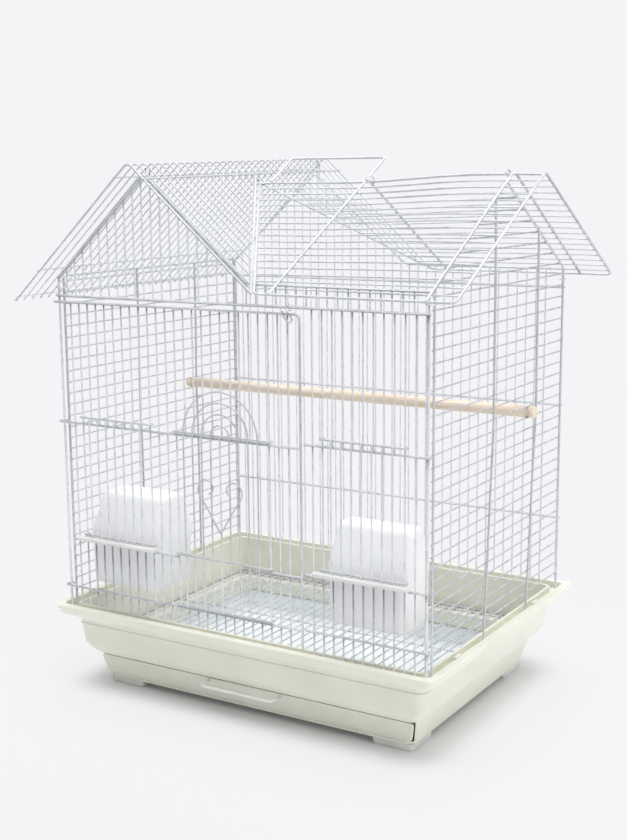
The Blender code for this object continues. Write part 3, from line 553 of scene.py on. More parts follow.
def valley_x(y: Array) -> Array:
    """X where the two roofs meet."""
    return TALL_RIDGE_X + (TALL_RIDGE_Z - low_z(y)) / VALLEY_FALL + VALLEY_LEAN * nearness(y)


def gable_z(x: Array) -> Array:
    """Top of the front and back panels: the gable, and the wall's top to its right."""
    gable = tall_z(x) - GABLE_DROP
    return np.where(np.asarray(x) > TALL_RIDGE_X, np.maximum(gable, WALL_TOP), gable)


def rake(surface: Surface, y: float, drop: float, radius: float) -> None:
    """Adds the wire along a panel's top edge, with tight bends at the ridge and the gable's foot."""
    foot = TALL_RIDGE_X + (TALL_RIDGE_Z - GABLE_DROP - WALL_TOP) / VALLEY_FALL
    x = np.array([-HALF_WIDTH, TALL_RIDGE_X, foot, HALF_WIDTH])
    wire(surface, bend(column(x, y, gable_z(x) - drop), 0.005), radius, (0, 1, 0))


def posts(surface: Surface, y: float) -> None:
    """Adds the posts at both ends of the front or back panel."""
    x = np.array([-HALF_WIDTH, HALF_WIDTH])
    uprights(surface, x, y, CHANNEL_FLOOR, gable_z(x) - POST_DROP, POST_RADIUS)


def eye(x: float, y: float, z: float, out: int, radius: float, into: float, turn: float = 205) -> Array:
    """Bar's end that curls round an upright C and stops behind it: C + r (cos a · out, sin a), a from -90°.

    Args:
        x: the upright's X.
        y: the upright's Y.
        z: the bar's height.
        out: direction that the bar's end points, -1 or 1.
        radius: radius of the curl to the bar's centre line.
        into: X at which the straight part starts.
        turn: how far the curl goes round, in degrees.

    Returns:
        Points from the straight part to the tip.
    """
    angle = np.radians(np.linspace(-90, turn - 90, 12))
    curl = column(x + radius * np.cos(angle) * out, y + radius * np.sin(angle), z)
    return np.concatenate([[(into, y - radius, z)], curl])


def small_bar(surface: Surface, wires: Array, layer: Layer, z: float) -> None:
    """Adds one bar of a sliding door, with an eye round the first and the last wire of its doorway."""
    first, last = wires[[0, -1]]
    curl = layer.wire - layer.bar
    middle = (first + last) / 2
    left = eye(first, layer.wire, z, -1, curl, middle)
    right = eye(last, layer.wire, z, 1, curl, middle)
    wire(surface, np.concatenate([left[:0:-1], right[1:]]), FRAME * 0.9, (0, 0, 1))


# Sub-assemblies


def seat_wires(surface: Surface, name: str, node_name: str, body: str = "cage") -> None:
    """Makes a piece of coated wire, and seats it in the place of a CAD node."""
    seat(surface.piece(name, COATED_WIRE.material), body, "coated_wire", node_name)


@dataclass
class Base:
    """Moulded base with its rim, panel channel, inner ledge, drawer bay, feet and rim clips."""

    wall: float = 0.0023
    channel_outer: float = 0.0062
    channel_inner: float = 0.0034
    channel_floor: float = 0.0860
    inner_drop: float = 0.0013
    ledge_z: float = 0.0494
    ledge_thick: float = 0.0024
    skirt_z: float = 0.0343
    rim_out: float = 0.0139
    bay_play: float = 0.0006
    bay_depth: float = 0.0160
    seam: float = 0.0006

    def shell(self) -> None:
        """Base tray: a closed skin up the outside, over the rim and down the inside, with the bay cut out."""
        outside = (
            (-0.0271, 0.0075), (-0.0199, 0.0335), (-0.0117, 0.0406), (-0.0068, 0.0478), (-0.0046, 0.0688),
            (-0.0038, 0.0694), (-0.0037, 0.0708), (-0.0044, 0.0714), (-0.0039, 0.0748), (0.0080, 0.0845),
            (0.0101, 0.0831), (self.rim_out, 0.0923), (0.0133, RIM_TOP),
        )
        lip, bay = RIM_TOP - self.inner_drop, self.ledge_z - self.ledge_thick
        inside = (
            (self.channel_outer, RIM_TOP), (self.channel_outer, self.channel_floor),
            (-self.channel_inner, self.channel_floor), (-self.channel_inner, lip), (-0.0062, lip),
            (-0.0091, self.ledge_z), (-0.0330, self.ledge_z), (-0.0332, self.skirt_z),
            (-0.0318, self.skirt_z), (-0.0316, bay), (-0.0140, bay), (-0.0222, 0.0345), (-0.0294, 0.0095),
        )
        offset, z = np.array(outside + inside).T
        # Corners are tight at the rim and rounder below
        radius = np.minimum(np.maximum(0.0103 - 0.31 * offset, 0.0060), 0.0108)
        radius[len(outside):] -= self.wall
        sizes = HALF_WIDTH + offset, HALF_DEPTH + offset, radius, z
        item = block("base_shell", IVORY.material, *sizes, steps=8)
        cut(item, [self.bay_tool(), *self.seam_tools()], "DIFFERENCE")
        soften(item, 0.00045)
        seat(item, "cage", "ivory_plastic", "base_tray")

    def bay_tool(self) -> Item:
        """Block that opens the drawer's way through the front wall."""
        z = np.array([DRAWER_LOW - 0.0003, DRAWER_HIGH + 0.0015])
        share = (z - DRAWER_LOW) / (DRAWER_HIGH - DRAWER_LOW)
        half = DRAWER_HALF_LOW + (DRAWER_HALF_HIGH - DRAWER_HALF_LOW) * share + self.bay_play
        centre = 0.0, -HALF_DEPTH + 0.0200
        return block("bay_tool", IVORY.material, half, self.bay_depth, 0.0003, z, centre, steps=2)

    def seam_tools(self) -> list[Item]:
        """Thin blocks for the mould seams in the rim's skirt near the corners."""
        edge_x, edge_y = HALF_WIDTH + self.rim_out, HALF_DEPTH + self.rim_out
        places = [(x, -edge_y) for x in (-edge_x + 0.013, edge_x - 0.013)]
        places += [(x, y) for x in (-edge_x, edge_x) for y in (-0.106, 0.0858)]
        sizes = self.seam, self.seam, 0.0002, (0.080, 0.0912)
        return [block("seam_tool", IVORY.material, *sizes, place, steps=2) for place in places]

    def feet(self) -> None:
        """Four pads, each a low block with rounded corners."""
        inset = np.array([0.0012, 0.0003, 0.0, 0.0])
        for name in ("front_left", "front_right", "back_left", "back_right"):
            middle, half = box_of("foot_" + name)
            z = middle[2] + half[2] * np.array([-1, -1, -1, 1]) + [0.0, 0.0012, 0.004, 0.0]
            sizes = half[0] - inset, half[1] - inset, 0.0045, z
            item = block("pad_" + name, GREY.material, *sizes, middle[:2])
            soften(item, 0.0004)
            seat(item, "cage", "grey_foot_plastic", "foot_" + name)

    def clips(self) -> None:
        """Four clips in the rim's channel: rounded tabs."""
        inset = np.array([0.0, 0.0, 0.0004])
        for name in ("left_front", "left_back", "right_front", "right_back"):
            middle, half = box_of("rim_clip_" + name)
            z = middle[2] + half[2] * np.array([-1, 1, 1]) - [0.0, 0.0005, 0.0]
            sizes = half[0] - inset, half[1] - inset * 3, 0.0007, z
            item = block("clip_" + name, IVORY.material, *sizes, middle[:2], steps=4)
            soften(item, 0.0002)
            seat(item, "cage", "ivory_plastic", "rim_clip_" + name)

    def build(self) -> None:
        """Builds the base, its pads and clips."""
        self.shell()
        self.feet()
        self.clips()


@dataclass
class Drawer:
    """Pull-out drawer: a shallow pan behind a framed front, with a wire handle."""

    thick: float = 0.0026
    border: float = 0.0019
    step: float = 0.0006
    panel: float = 0.0045
    corner: float = 0.0052
    pan_front: float = -0.1282
    pan_back: float = 0.1300
    pan_half: float = 0.1830

    def outline(self, inset: float, inward: float) -> Array:
        """Trapezoid of the front with rounded lower corners, drawn in by an inset and set back."""
        low, high = DRAWER_LOW + inset, DRAWER_HIGH - inset
        half_low, half_high = DRAWER_HALF_LOW - inset, DRAWER_HALF_HIGH - inset
        x = np.array([0, half_high, half_low, -half_low, -half_high, 0])
        z = np.array([high, high, low, low, high, high])
        path = bend(column(x, 0.0, z), max(self.corner - inset, 0.0012))[:-1]
        # The outer face follows the slope of the base
        share = (path[:, 2] - 0.0075) / (0.0335 - 0.0075)
        path[:, 1] = inward - (HALF_DEPTH - 0.0271 + 0.0072 * share)
        return path

    def build(self) -> None:
        """Builds the front, the pan and the handle."""
        rings = np.stack([
            self.outline(self.panel, self.step), self.outline(self.border + self.step, self.step),
            self.outline(self.border, 0.0), self.outline(0.0, 0.0), self.outline(0.0, self.thick),
        ])
        item = skin(rings).piece("drawer_front", IVORY.material)
        soften(item, 0.0003)
        seat(item, "drawer", "drawer_plastic", "drawer")
        z = DRAWER_LOW, DRAWER_LOW + 0.0007, DRAWER_HIGH, DRAWER_HIGH, 0.0130, 0.0125
        grow = np.array([-0.0012, 0.0, 0.0042, 0.0022, -0.0022, -0.0040])
        half_y = (self.pan_back - self.pan_front) / 2 + grow * 0.25 - 0.0010
        centre = 0.0, (self.pan_front + self.pan_back) / 2
        item = block("drawer_pan", PAN.material, self.pan_half + grow, half_y, 0.0060, z, centre)
        soften(item, 0.0004)
        seat(item, "drawer", "drawer_plastic", "drawer")
        self.handle()

    def handle(self) -> None:
        """U of thick coated wire, its arms sunk in the front."""
        middle, half = box_of("drawer_handle")
        radius = half[2] * 1.02
        reach = half[0] - radius
        root, tip = middle[1] + half[1] + 0.0015, middle[1] - half[1] + radius
        x = middle[0] + reach * np.array([-1, -1, 1, 1])
        path = bend(column(x, (root, tip, tip, root), middle[2]), 0.0055, 8)
        item = wire(Surface(), path, radius, (0, 0, 1), sides=14).piece("handle", HANDLE.material)
        seat(item, "drawer", "coated_wire", "drawer_handle")


@dataclass
class Grille:
    """Floor grille: long wires over three cross wires, inside a border wire."""

    half_x: float = 0.2012
    half_y: float = 0.1492
    count: int = 37
    lift: float = 0.0008
    drop: float = 0.0009

    def build(self) -> None:
        """Builds the long wires and the cross wires under them."""
        z = box_of("floor_grille")[0][2] + self.drop
        x = self.half_x * np.array([0, 1, 1, -1, -1, 0])
        y = self.half_y * np.array([-1, -1, 1, 1, -1, -1])
        border = bend(column(x, y, z), 0.006)
        surface = wire(Surface(), border[:-1], FRAME, (0, 0, 1), closed=True)
        x, over = np.linspace(-self.half_x, self.half_x, self.count)[1:-1], z + self.lift
        rods(surface, column(x, -self.half_y, over), column(x, self.half_y, over), THIN)
        seat_wires(surface, "grille_wires", "floor_grille")
        reach, under = self.half_x - 0.001, z - self.drop
        for number in (1, 2, 3):
            name = f"grille_cross_wire_{number}"
            y = box_of(name)[0][1]
            surface = rods(Surface(), (-reach, y, under), (reach, y, under), THIN)
            seat_wires(surface, f"grille_cross_{number}", name)


@dataclass
class FrontPanel:
    """Fixed front: posts, gable, upper rail and the uprights beside the large door."""

    pitch: float = 0.0112
    curl: float = 0.0026
    overhang: float = 0.0016
    second_rake_drop: float = 0.0044
    door_gap: float = 0.0024

    def build(self) -> None:
        """Builds the panel's wires."""
        y, rail = FIXED.wire, FIXED.rail
        x = -HALF_WIDTH + self.pitch * np.arange(1, 38)
        surface = uprights(Surface(), x, y, UPPER_RAIL - 0.0008, gable_z(x) - RAKE_DROP, FRONT)
        posts(surface, y)
        rake(surface, rail + 0.0003, RAKE_DROP, FRAME)
        rake(surface, rail + 0.0003, self.second_rake_drop, THIN)
        opening = FEEDER_WIRES[1:-1]
        uprights(surface, np.delete(RIGHT_WIRES, opening), y, CHANNEL_FLOOR, UPPER_RAIL, FRONT)
        uprights(surface, RIGHT_WIRES[opening], y, CHANNEL_FLOOR, FEEDER_RAIL_RIGHT, FRONT)
        uprights(surface, RIGHT_WIRES[opening], y, MIDDLE_RAIL_RIGHT, UPPER_RAIL, FRONT)
        reach = HALF_WIDTH + self.overhang
        rods(surface, (-reach, rail, UPPER_RAIL), (reach, rail, UPPER_RAIL), FRAME)
        start = DOOR_FRAME_X + self.door_gap
        rods(surface, (start, rail, FEEDER_RAIL_RIGHT), (HALF_WIDTH, rail, FEEDER_RAIL_RIGHT), FRAME)
        for z in (LOW_RAIL, MIDDLE_RAIL_RIGHT):
            hook = eye(HALF_WIDTH, rail + self.curl, z, 1, self.curl, start, 230)
            wire(surface, hook, FRAME, (0, 0, 1))
        seat_wires(surface, "front_wires", "front_panel")


@dataclass
class FrontDoor:
    """Large hinged door: a bent frame wire, uprights and rails that curl round the left post."""

    foot: float = RIM_TOP + 0.0022
    overhang: float = 0.0030
    stub: float = 0.0066

    def build(self) -> None:
        """Builds the door's wires, with openings for the feeder and the rainbow door."""
        y, rail = DOOR.wire, DOOR.rail
        feeder, rainbow = FEEDER_WIRES[1:-1], RAINBOW_WIRES[1:-1]
        openings = np.concatenate([feeder, rainbow])
        surface = uprights(Surface(), np.delete(DOOR_WIRES, openings), y, self.foot, DOOR_TOP, FRONT)
        uprights(surface, DOOR_WIRES[feeder], y, self.foot, FEEDER_RAIL, FRONT)
        uprights(surface, DOOR_WIRES[rainbow], y, self.foot, LOW_RAIL, FRONT)
        uprights(surface, DOOR_WIRES[openings], y, MIDDLE_RAIL, DOOR_TOP, FRONT)
        edge = bend([(-HALF_WIDTH - self.overhang, rail, DOOR_TOP), (DOOR_FRAME_X, rail, DOOR_TOP),
                     (DOOR_FRAME_X, rail, self.foot)], 0.0060)
        wire(surface, edge, FRAME, (0, 1, 0))
        for z in (LOW_RAIL, MIDDLE_RAIL):
            hook = eye(-HALF_WIDTH, FIXED.wire, z, -1, FIXED.wire - rail, DOOR_FRAME_X, 235)
            wire(surface, hook, FRAME, (0, 0, 1))
        first, last = DOOR_WIRES[RAINBOW_WIRES[[0, -1]]]
        starts = column([DOOR_WIRES[0] - self.stub, last], rail, FEEDER_RAIL)
        rods(surface, starts, column([first, DOOR_FRAME_X], rail, FEEDER_RAIL), FRAME)
        seat_wires(surface, "door_wires", "front_door", "front_door")


@dataclass
class SmallDoors:
    """Three guillotine doors that slide up on their panels' uprights, one with a rainbow and a heart."""

    lift: float = 0.0068
    rainbow_lift: float = 0.0030
    past_bar: float = 0.0008

    def feeder_door(self, name: str, wires: Array, layer: Layer, low: float, high: float) -> None:
        """Uprights between two bars whose ends curl round the panel's uprights.

        Args:
            name: the CAD node, which is also its body.
            wires: X of the panel's uprights at the doorway.
            layer: the panel's depths.
            low: height of the rail behind the lower bar.
            high: height of the rail behind the upper bar.
        """
        surface = Surface()
        low, high = low + self.lift, high + self.lift
        for z in (low, high):
            small_bar(surface, wires, layer, z)
        uprights(surface, wires[1:-1], layer.leg, low - self.past_bar, high + self.past_bar, FRONT)
        seat_wires(surface, name + "_wires", name, name)

    def rainbow_door(self) -> None:
        """Uprights that run over the top bar as four arches about the middle one.

        Each arch is (c + r cos a, top + r sin a) from one leg to the other.
        """
        surface = Surface()
        wires = DOOR_WIRES[RAINBOW_WIRES]
        legs = wires[1:-1]
        centre = legs[len(legs) // 2]
        low, middle, top = np.array([LOW_RAIL, FEEDER_RAIL, MIDDLE_RAIL]) + self.rainbow_lift
        for z in (low, middle, top):
            small_bar(surface, wires, DOOR, z)
        uprights(surface, centre, DOOR.leg, low, top, FRONT)
        angle = np.linspace(math.pi, 0, 25)
        radius = (legs[5:] - centre)[:, None]
        x = np.concatenate([centre - radius, centre + radius * np.cos(angle), centre + radius], 1)
        foot = np.full((len(radius), 1), low)
        arches = column(x, DOOR.leg, np.concatenate([foot, top + radius * np.sin(angle), foot], 1))
        wire(surface, arches, FRONT, (0, 1, 0))
        seat_wires(surface, "rainbow_wires", "rainbow_door", "rainbow_door")
        self.heart(centre)

    def heart(self, centre: float) -> None:
        """Open heart of one wire with a curl inside each lobe, welded over the uprights."""
        left = np.array([
            (-0.0127, 0.2378), (-0.0090, 0.2408), (-0.0080, 0.2453), (-0.0112, 0.2498), (-0.0178, 0.2518),
            (-0.0236, 0.2489), (-0.0262, 0.2425), (-0.0247, 0.2362), (-0.0130, 0.2190), (-0.0016, 0.2012),
        ])
        flat = np.concatenate([left, left[::-1] * [-1, 1]])
        path = flowing(column(centre + flat[:, 0], DOOR.leg - FRONT * 1.7, flat[:, 1]))
        surface = wire(Surface(), path, FRONT, (0, 1, 0))
        seat_wires(surface, "heart", "rainbow_door_heart", "rainbow_door")

    def build(self) -> None:
        """Builds the three doors."""
        self.feeder_door("left_feeder_door", DOOR_WIRES[FEEDER_WIRES], DOOR, FEEDER_RAIL, MIDDLE_RAIL)
        self.feeder_door("right_feeder_door", RIGHT_WIRES[FEEDER_WIRES], FIXED, FEEDER_RAIL_RIGHT,
                         MIDDLE_RAIL_RIGHT)
        self.rainbow_door()


@dataclass
class BackPanel:
    """Back: full height uprights under the same outline, with three rails outside."""

    pitch: float = 0.01107
    count: int = 38
    overhang: float = 0.0013
    rail_out: float = 0.0018

    def build(self) -> None:
        """Builds the uprights and the rails."""
        y = HALF_DEPTH - 0.0015
        x = -HALF_WIDTH + self.pitch * np.arange(1, self.count)
        surface = uprights(Surface(), x, y, CHANNEL_FLOOR, gable_z(x) - RAKE_DROP, THIN)
        posts(surface, y)
        rake(surface, y + 0.0009, RAKE_DROP, FRAME)
        seat_wires(surface, "back_wires", "back_panel")
        reach = HALF_WIDTH + self.overhang
        for name, z in (("upper", UPPER_RAIL), ("middle", MIDDLE_RAIL_RIGHT), ("lower", FEEDER_RAIL_RIGHT)):
            surface = rods(Surface(), (-reach, y + self.rail_out, z), (reach, y + self.rail_out, z), FRAME)
            seat_wires(surface, "back_bar_" + name, "back_rail_" + name)


@dataclass
class SidePanel:
    """Left or right side: rows along Y with their ends welded over a border wire."""

    hand: Hand
    knob: float = 0.0011
    inner: float = 0.0004
    outer: float = 0.0010

    def build(self) -> None:
        """Builds the rows, the border and the two posts outside them."""
        right, side = self.hand is Hand.RIGHT, self.hand.value
        name, x = self.hand.name.lower() + "_panel", side * HALF_WIDTH
        apex = LOW_RIDGE_Z - GABLE_DROP / 2
        fall = (apex - WALL_TOP) / np.array([SIDE_FRONT, SIDE_BACK])
        rows = SIDE_FOOT + SIDE_PITCH * np.arange(36 if right else 29)
        front = np.minimum(SIDE_FRONT, (apex - rows) / fall[0]) + self.knob
        back = np.minimum(SIDE_BACK, (apex - rows) / fall[1]) + self.knob * 0.5
        inner, outer = x - side * self.inner, x + side * self.outer
        surface = rods(Surface(), column(inner, -front, rows), column(inner, back, rows), THIN)
        top = WALL_TOP if right else WALL_TOP - 0.0012
        corners = [(outer, -SIDE_FRONT, CHANNEL_FLOOR), (outer, -SIDE_FRONT, top), (outer, SIDE_BACK, top),
                   (outer, SIDE_BACK, CHANNEL_FLOOR)]
        if right:
            corners.insert(2, (outer, 0, apex))
        wire(surface, bend(corners, 0.004), FRAME, (1, 0, 0))
        seat_wires(surface, name + "_wires", name)
        for place in ("front", "back"):
            y = box_of(f"{name}_{place}_post")[0][1]
            top = apex - abs(y) * fall[int(y > 0)] if right else WALL_TOP
            z = np.linspace(CHANNEL_FLOOR, top - 0.001, 24)
            # The posts bow out a little near the middle rail, and the right ones lean as in the photograph
            bow = np.exp(-((z - 0.3033) / 0.045) ** 2) * 0.0011
            share = (z - CHANNEL_FLOOR) / (LOW_RIDGE_Z - CHANNEL_FLOOR)
            drift = -0.0105 + 0.0480 * share - 0.0340 * share**2 if right else 0.0
            surface = wire(Surface(), column(x + side * (0.0021 + bow), y + drift, z), FRAME, (0, 1, 0))
            seat_wires(surface, f"{name}_{place}_upright", f"{name}_{place}_post")


@dataclass
class TallRoof:
    """Tall roof: wires bent over the ridge, rails on both slopes and along the eave, and a valley wire."""

    count: int = 31
    rails: tuple[float, ...] = (-0.2505, -0.2184, -0.1146, -0.0780)
    rail_lift: float = 0.0021
    overhang: float = 0.0012

    def build(self) -> None:
        """Builds the roof's wires."""
        surface = Surface()
        y = np.linspace(-ROOF_HALF_DEPTH, ROOF_HALF_DEPTH, self.count)
        foot = valley_x(y) - FRAME * 1.2
        corners = np.stack([
            column(-ROOF_HALF_WIDTH + 0.0012, y, TALL_EAVE_Z + 0.0008),
            column(TALL_RIDGE_X, y, tall_height(TALL_RIDGE_X, y) + 0.0012),
            column(foot, y, tall_height(foot, y)),
        ], 1)
        paths = bend(corners, 0.0070)
        wire(surface, paths[1:-1], THIN, (0, 1, 0), ends=Ends.BEAD)
        wire(surface, paths[[0, -1]], FRAME * 0.94, (0, 1, 0), ends=Ends.BEAD)
        for x in self.rails:
            reach = y * (1 + self.overhang / ROOF_HALF_DEPTH)
            radius = THIN * (0.8 if x == self.rails[0] else 1.15)
            wire(surface, column(x, reach, tall_height(x, y) + self.rail_lift), radius, (1, 0, 0))
        ends = np.array([-ROOF_HALF_DEPTH, 0.0, ROOF_HALF_DEPTH])
        valley = valley_x(ends) - FRAME * 0.9
        path = bend(column(valley, ends, tall_height(valley, ends) + 0.0004), 0.006)
        wire(surface, path, FRAME, normal_of(path))
        seat_wires(surface, "tall_roof_wires", "tall_roof")


@dataclass
class LowRoof:
    """Low roof: a hinged lid in front and a fixed slope behind, and the loop that stops the lid."""

    rows: int = 18
    ridge: float = 0.0018
    inset: float = 0.0016
    support_lift: float = 0.0023
    edge_lift: float = 0.0009
    loop_left: float = -0.0520
    loop_reach: float = 0.0405
    loop_rise: float = 0.0170
    skew: float = 0.0080
    corner_gap: float = 0.0018
    corner_reach: float = 0.030

    def right_edge(self, y: Array) -> Array:
        """X of the right edge, which runs a little outwards towards the back."""
        return ROOF_HALF_WIDTH + self.skew * np.clip(y / ROOF_HALF_DEPTH + 1, 0, 2) / 2

    def slope(self, side: int) -> None:
        """Adds one slope's rows and edge wire, and its two supports.

        Args:
            side: -1 for the lid in front, 1 for the fixed slope behind.
        """
        name, body = ("roof_lid", "roof_lid") if side < 0 else ("low_roof_back", "cage")
        surface = Surface()
        y = side * np.linspace(self.ridge, ROOF_HALF_DEPTH, self.rows + 1)
        first = valley_x(y) + self.inset + FRAME * 0.4
        if side < 0:
            # The lid's upper corner keeps clear of the tall roof when it swings forward
            first = first + self.corner_gap * np.exp(y / self.corner_reach)
        share = np.linspace(0, 1, 14)
        x = first[:, None] + (self.right_edge(y)[:, None] - 0.0010 - first[:, None]) * share
        rows = column(x, y[:, None], low_height(x, y[:, None]))
        wire(surface, rows[1:-1], THIN, (0, 1, 0))
        wire(surface, rows[0], FRAME, (0, 1, 0))
        right = self.right_edge(y) - FRAME
        edge_x, edge_y = np.array([first[0], first[-1], right[-1], right[0]]), y[[0, -1, -1, 0]]
        edge = bend(column(edge_x, edge_y, low_height(edge_x, edge_y) + self.edge_lift), 0.0060)
        wire(surface, edge, FRAME, normal_of(edge))
        seat_wires(surface, name + "_wires", name, body)
        y = side * np.linspace(self.ridge + 0.0030, ROOF_HALF_DEPTH + 0.0006, 8)[::side]
        for number, x in enumerate(LID_SUPPORTS, 1):
            surface = wire(Surface(), column(x, y, low_height(x, y) + self.support_lift), FRAME, (1, 0, 0))
            seat_wires(surface, f"{name}_stay_{number}", f"{name}_support_{number}", body)

    def stop_loop(self) -> None:
        """Loop that runs on from the lid's first support, past the ridge and back."""
        x = np.array([self.loop_left, self.loop_left, LID_SUPPORTS[0], LID_SUPPORTS[0]])
        y = -self.ridge + self.loop_reach * np.array([0, 1, 1, 0])
        z = low_height(x, y) + self.support_lift
        z[1:3] = LOW_RIDGE_Z + self.support_lift + self.loop_rise
        path = bend(column(x, y, z), 0.0050)
        surface = wire(Surface(), path, FRAME, normal_of(path))
        seat_wires(surface, "stop_loop", "lid_stop_loop", "roof_lid")

    def build(self) -> None:
        """Builds both slopes and the loop."""
        self.slope(-1)
        self.slope(1)
        self.stop_loop()


@dataclass
class Clips:
    """Spring wire rings that tie panels and roofs, and the latch of the large door."""

    eye_radius: float = 0.0033
    eye_half: float = 0.0016

    def ring(self, name: str, seed: int) -> None:
        """Ring of a turn and a bit in the place of a CAD ring: a helix, so its ends pass each other.

        Args:
            name: the CAD node.
            seed: sets where the ends lie.
        """
        middle, half = box_of(name)
        half = half - RING
        axis = 0
        if name.startswith("ridge"):
            middle[1:] = middle[1] - 0.0007, low_height(middle[0], 0.0)
            half[1:] = 0.0050, 0.0033
        elif name.endswith("gable"):
            middle[0] += 0.0052
            top = tall_height(middle[0], middle[1]) + 0.0028
            foot = gable_z(TALL_RIDGE_X) - 0.0052
            middle[2] = (top + foot) / 2
            half[1:] = 0.0026, (top - foot) / 2
        else:
            axis = 2
            half[:2] *= 0.74
        first, second = (axis + 1) % 3, (axis + 2) % 3
        angle = np.radians(np.linspace(0, 385, 40) + seed * 47)
        path = np.tile(middle, (40, 1))
        path[:, first] += half[first] * np.cos(angle)
        path[:, second] += half[second] * np.sin(angle)
        path[:, axis] += np.linspace(-1.1, 1.1, 40) * RING
        surface = wire(Surface(), path, RING, np.eye(3)[axis])
        seat(surface.piece(name.replace("ring", "coil"), ZINC.material), "cage", "zinc_clip", name)

    def latch(self) -> None:
        """Latch: an eye round the upper rail, and a tongue that drops over the door and curls back."""
        x, y, z = box_of("latch_hook")[0]
        angle = np.radians(np.linspace(40, 400, 26))
        across = np.linspace(-self.eye_half, self.eye_half, 26)
        circle = self.eye_radius * np.array([np.cos(angle), np.sin(angle)])
        eyelet = (x, y - 0.0009, z) + column(across, *circle)
        surface = wire(Surface(), eyelet, RING, (1, 0, 0))
        # Points of the tongue, measured from the latch's middle
        front = -0.0068
        tongue = flowing([
            (-0.0012, -0.0040, -0.0010), (-0.0024, front + 0.0008, -0.0021), (-0.0028, front, -0.0046),
            (-0.0012, front, -0.0087), (0.0018, front, -0.0128), (0.0047, front, -0.0134),
            (0.0058, front, -0.0105), (0.0038, front, -0.0062), (0.0016, front + 0.0003, -0.0024),
            (0.0010, front + 0.0014, -0.0010), (0.0006, -0.0040, -0.0008),
        ])
        wire(surface, tongue * (1.2, 1, 1) + (x - 0.0006, y, z), RING * 1.6, (0.05, 1, 0.12))
        seat(surface.piece("latch", ZINC.material), "latch", "zinc_clip", "latch_hook")

    def build(self) -> None:
        """Builds every ring and the latch."""
        names = sorted(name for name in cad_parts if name.startswith(("clip_ring", "ridge_ring")))
        for seed, name in enumerate(names):
            self.ring(name, seed)
        self.latch()


@dataclass
class Feeder:
    """Milky feeder: a cup under a hood that is open towards the birds, with a shelf lip outside.

    It replaces its CAD node, rides on its body, and rests on the rail at its panel's doorway.
    """

    node_name: str
    body: str
    wires: Array
    layer: Layer
    rail: float
    wall: float = 0.0016
    setback: float = 0.0030
    cup_half: float = 0.0412
    cup_depth: float = 0.0500
    cup_drop: float = 0.0474
    hood_low: float = 0.0430
    hood_top: float = 0.0402
    hood_height: float = 0.0450
    hood_depth: float = 0.0545
    lip_top: float = 0.0036
    deepen: float = 1.0

    def loft(self, half_x: Array, half_y: Array, y: Array, radius: Array, z: Array) -> Item:
        """Solid through rounded rectangles: half sizes, Y of the middle, corner radii and heights.

        X is measured from the doorway's middle, Y from just behind its wires and Z from its rail.
        """
        first, last = self.wires[[0, -1]]
        centre = (first + last) / 2, y + (self.layer.wire + 0.0007)
        return block("loft", MILKY.material, half_x, half_y, radius, z + (self.rail + 0.0016), centre)

    def hood(self, wall: float, past: float) -> Item:
        """Loft of the hood, drawn in by a wall's thickness and carried past its open back.

        Args:
            wall: how far each side is drawn in.
            past: how far the back is carried on.

        Returns:
            The lofted solid.
        """
        top = self.lip_top + self.hood_height
        z = np.array([self.lip_top - past / 2, self.lip_top + 0.0085, top - 0.0060, top - 0.0018, top])
        z = z - [0, 0, wall, wall, wall]
        half = np.array([self.hood_low, self.hood_low, 0.0408, self.hood_top, self.hood_top - 0.0022]) - wall
        back = np.array([self.hood_depth, self.hood_depth, 0.0478, 0.0460, 0.0438]) * self.deepen + past
        front = np.array([0.0, 0.0022, 0.0152, 0.0172, 0.0196]) + self.setback + wall
        radius = np.array([0.0050, 0.0050, 0.0056, 0.0060, 0.0056]) - wall * 0.8
        return self.loft(half, (back - front) / 2, (front + back) / 2, radius, z)

    def cup(self, wall: float, top: float) -> Item:
        """Loft of the cup, which narrows a little to its rounded floor."""
        z = np.array([-self.cup_drop + wall, -self.cup_drop + 0.0025 + wall, -0.0010, top])
        draw = np.array([0.0024, 0.0010, 0.0, 0.0]) + wall
        half_y = self.cup_depth / 2
        return self.loft(self.cup_half - draw, half_y - draw, self.setback + half_y, 0.0048 - wall, z)

    def slab(self, half: Sequence[float], y: Sequence[float], radius: float, z: Sequence[float]) -> Item:
        """Flat plate with rounded corners: its half widths, its Y range and its Z range."""
        return self.loft(half, (y[1] - y[0]) / 2, (y[0] + y[1]) / 2, radius, np.array(z))

    def build(self) -> None:
        """Builds the shell and its lip."""
        top = self.lip_top
        item = self.hood(0.0, 0.0)
        deck = self.setback, self.hood_depth * self.deepen
        cut(item, [
            self.cup(0.0, top - 0.0004),
            self.slab(self.hood_low, deck, 0.0070, (0.0, top + 0.0002)),
            self.slab(0.0415, (-0.0040, self.setback + 0.004), 0.0010, (0.0004, top - 0.0004)),
        ], "UNION")
        cut(item, [self.cup(self.wall, top + 0.003), self.hood(self.wall, self.wall * 2)], "DIFFERENCE")
        item.name = self.node_name + "_shell"
        lip = self.slab((0.0515, 0.0520), (-0.0112, -0.0024), 0.0036, (0.0, top))
        lip.name = self.node_name + "_lip"
        # The lip takes the greyer copy of the polythene, with painted shade
        lip.data.materials[0] = LIP_PAINTED_SHADE.material
        for piece in (item, lip):
            soften(piece, 0.0005, angle=40)
            seat(piece, self.body, "feeder_plastic", self.node_name)


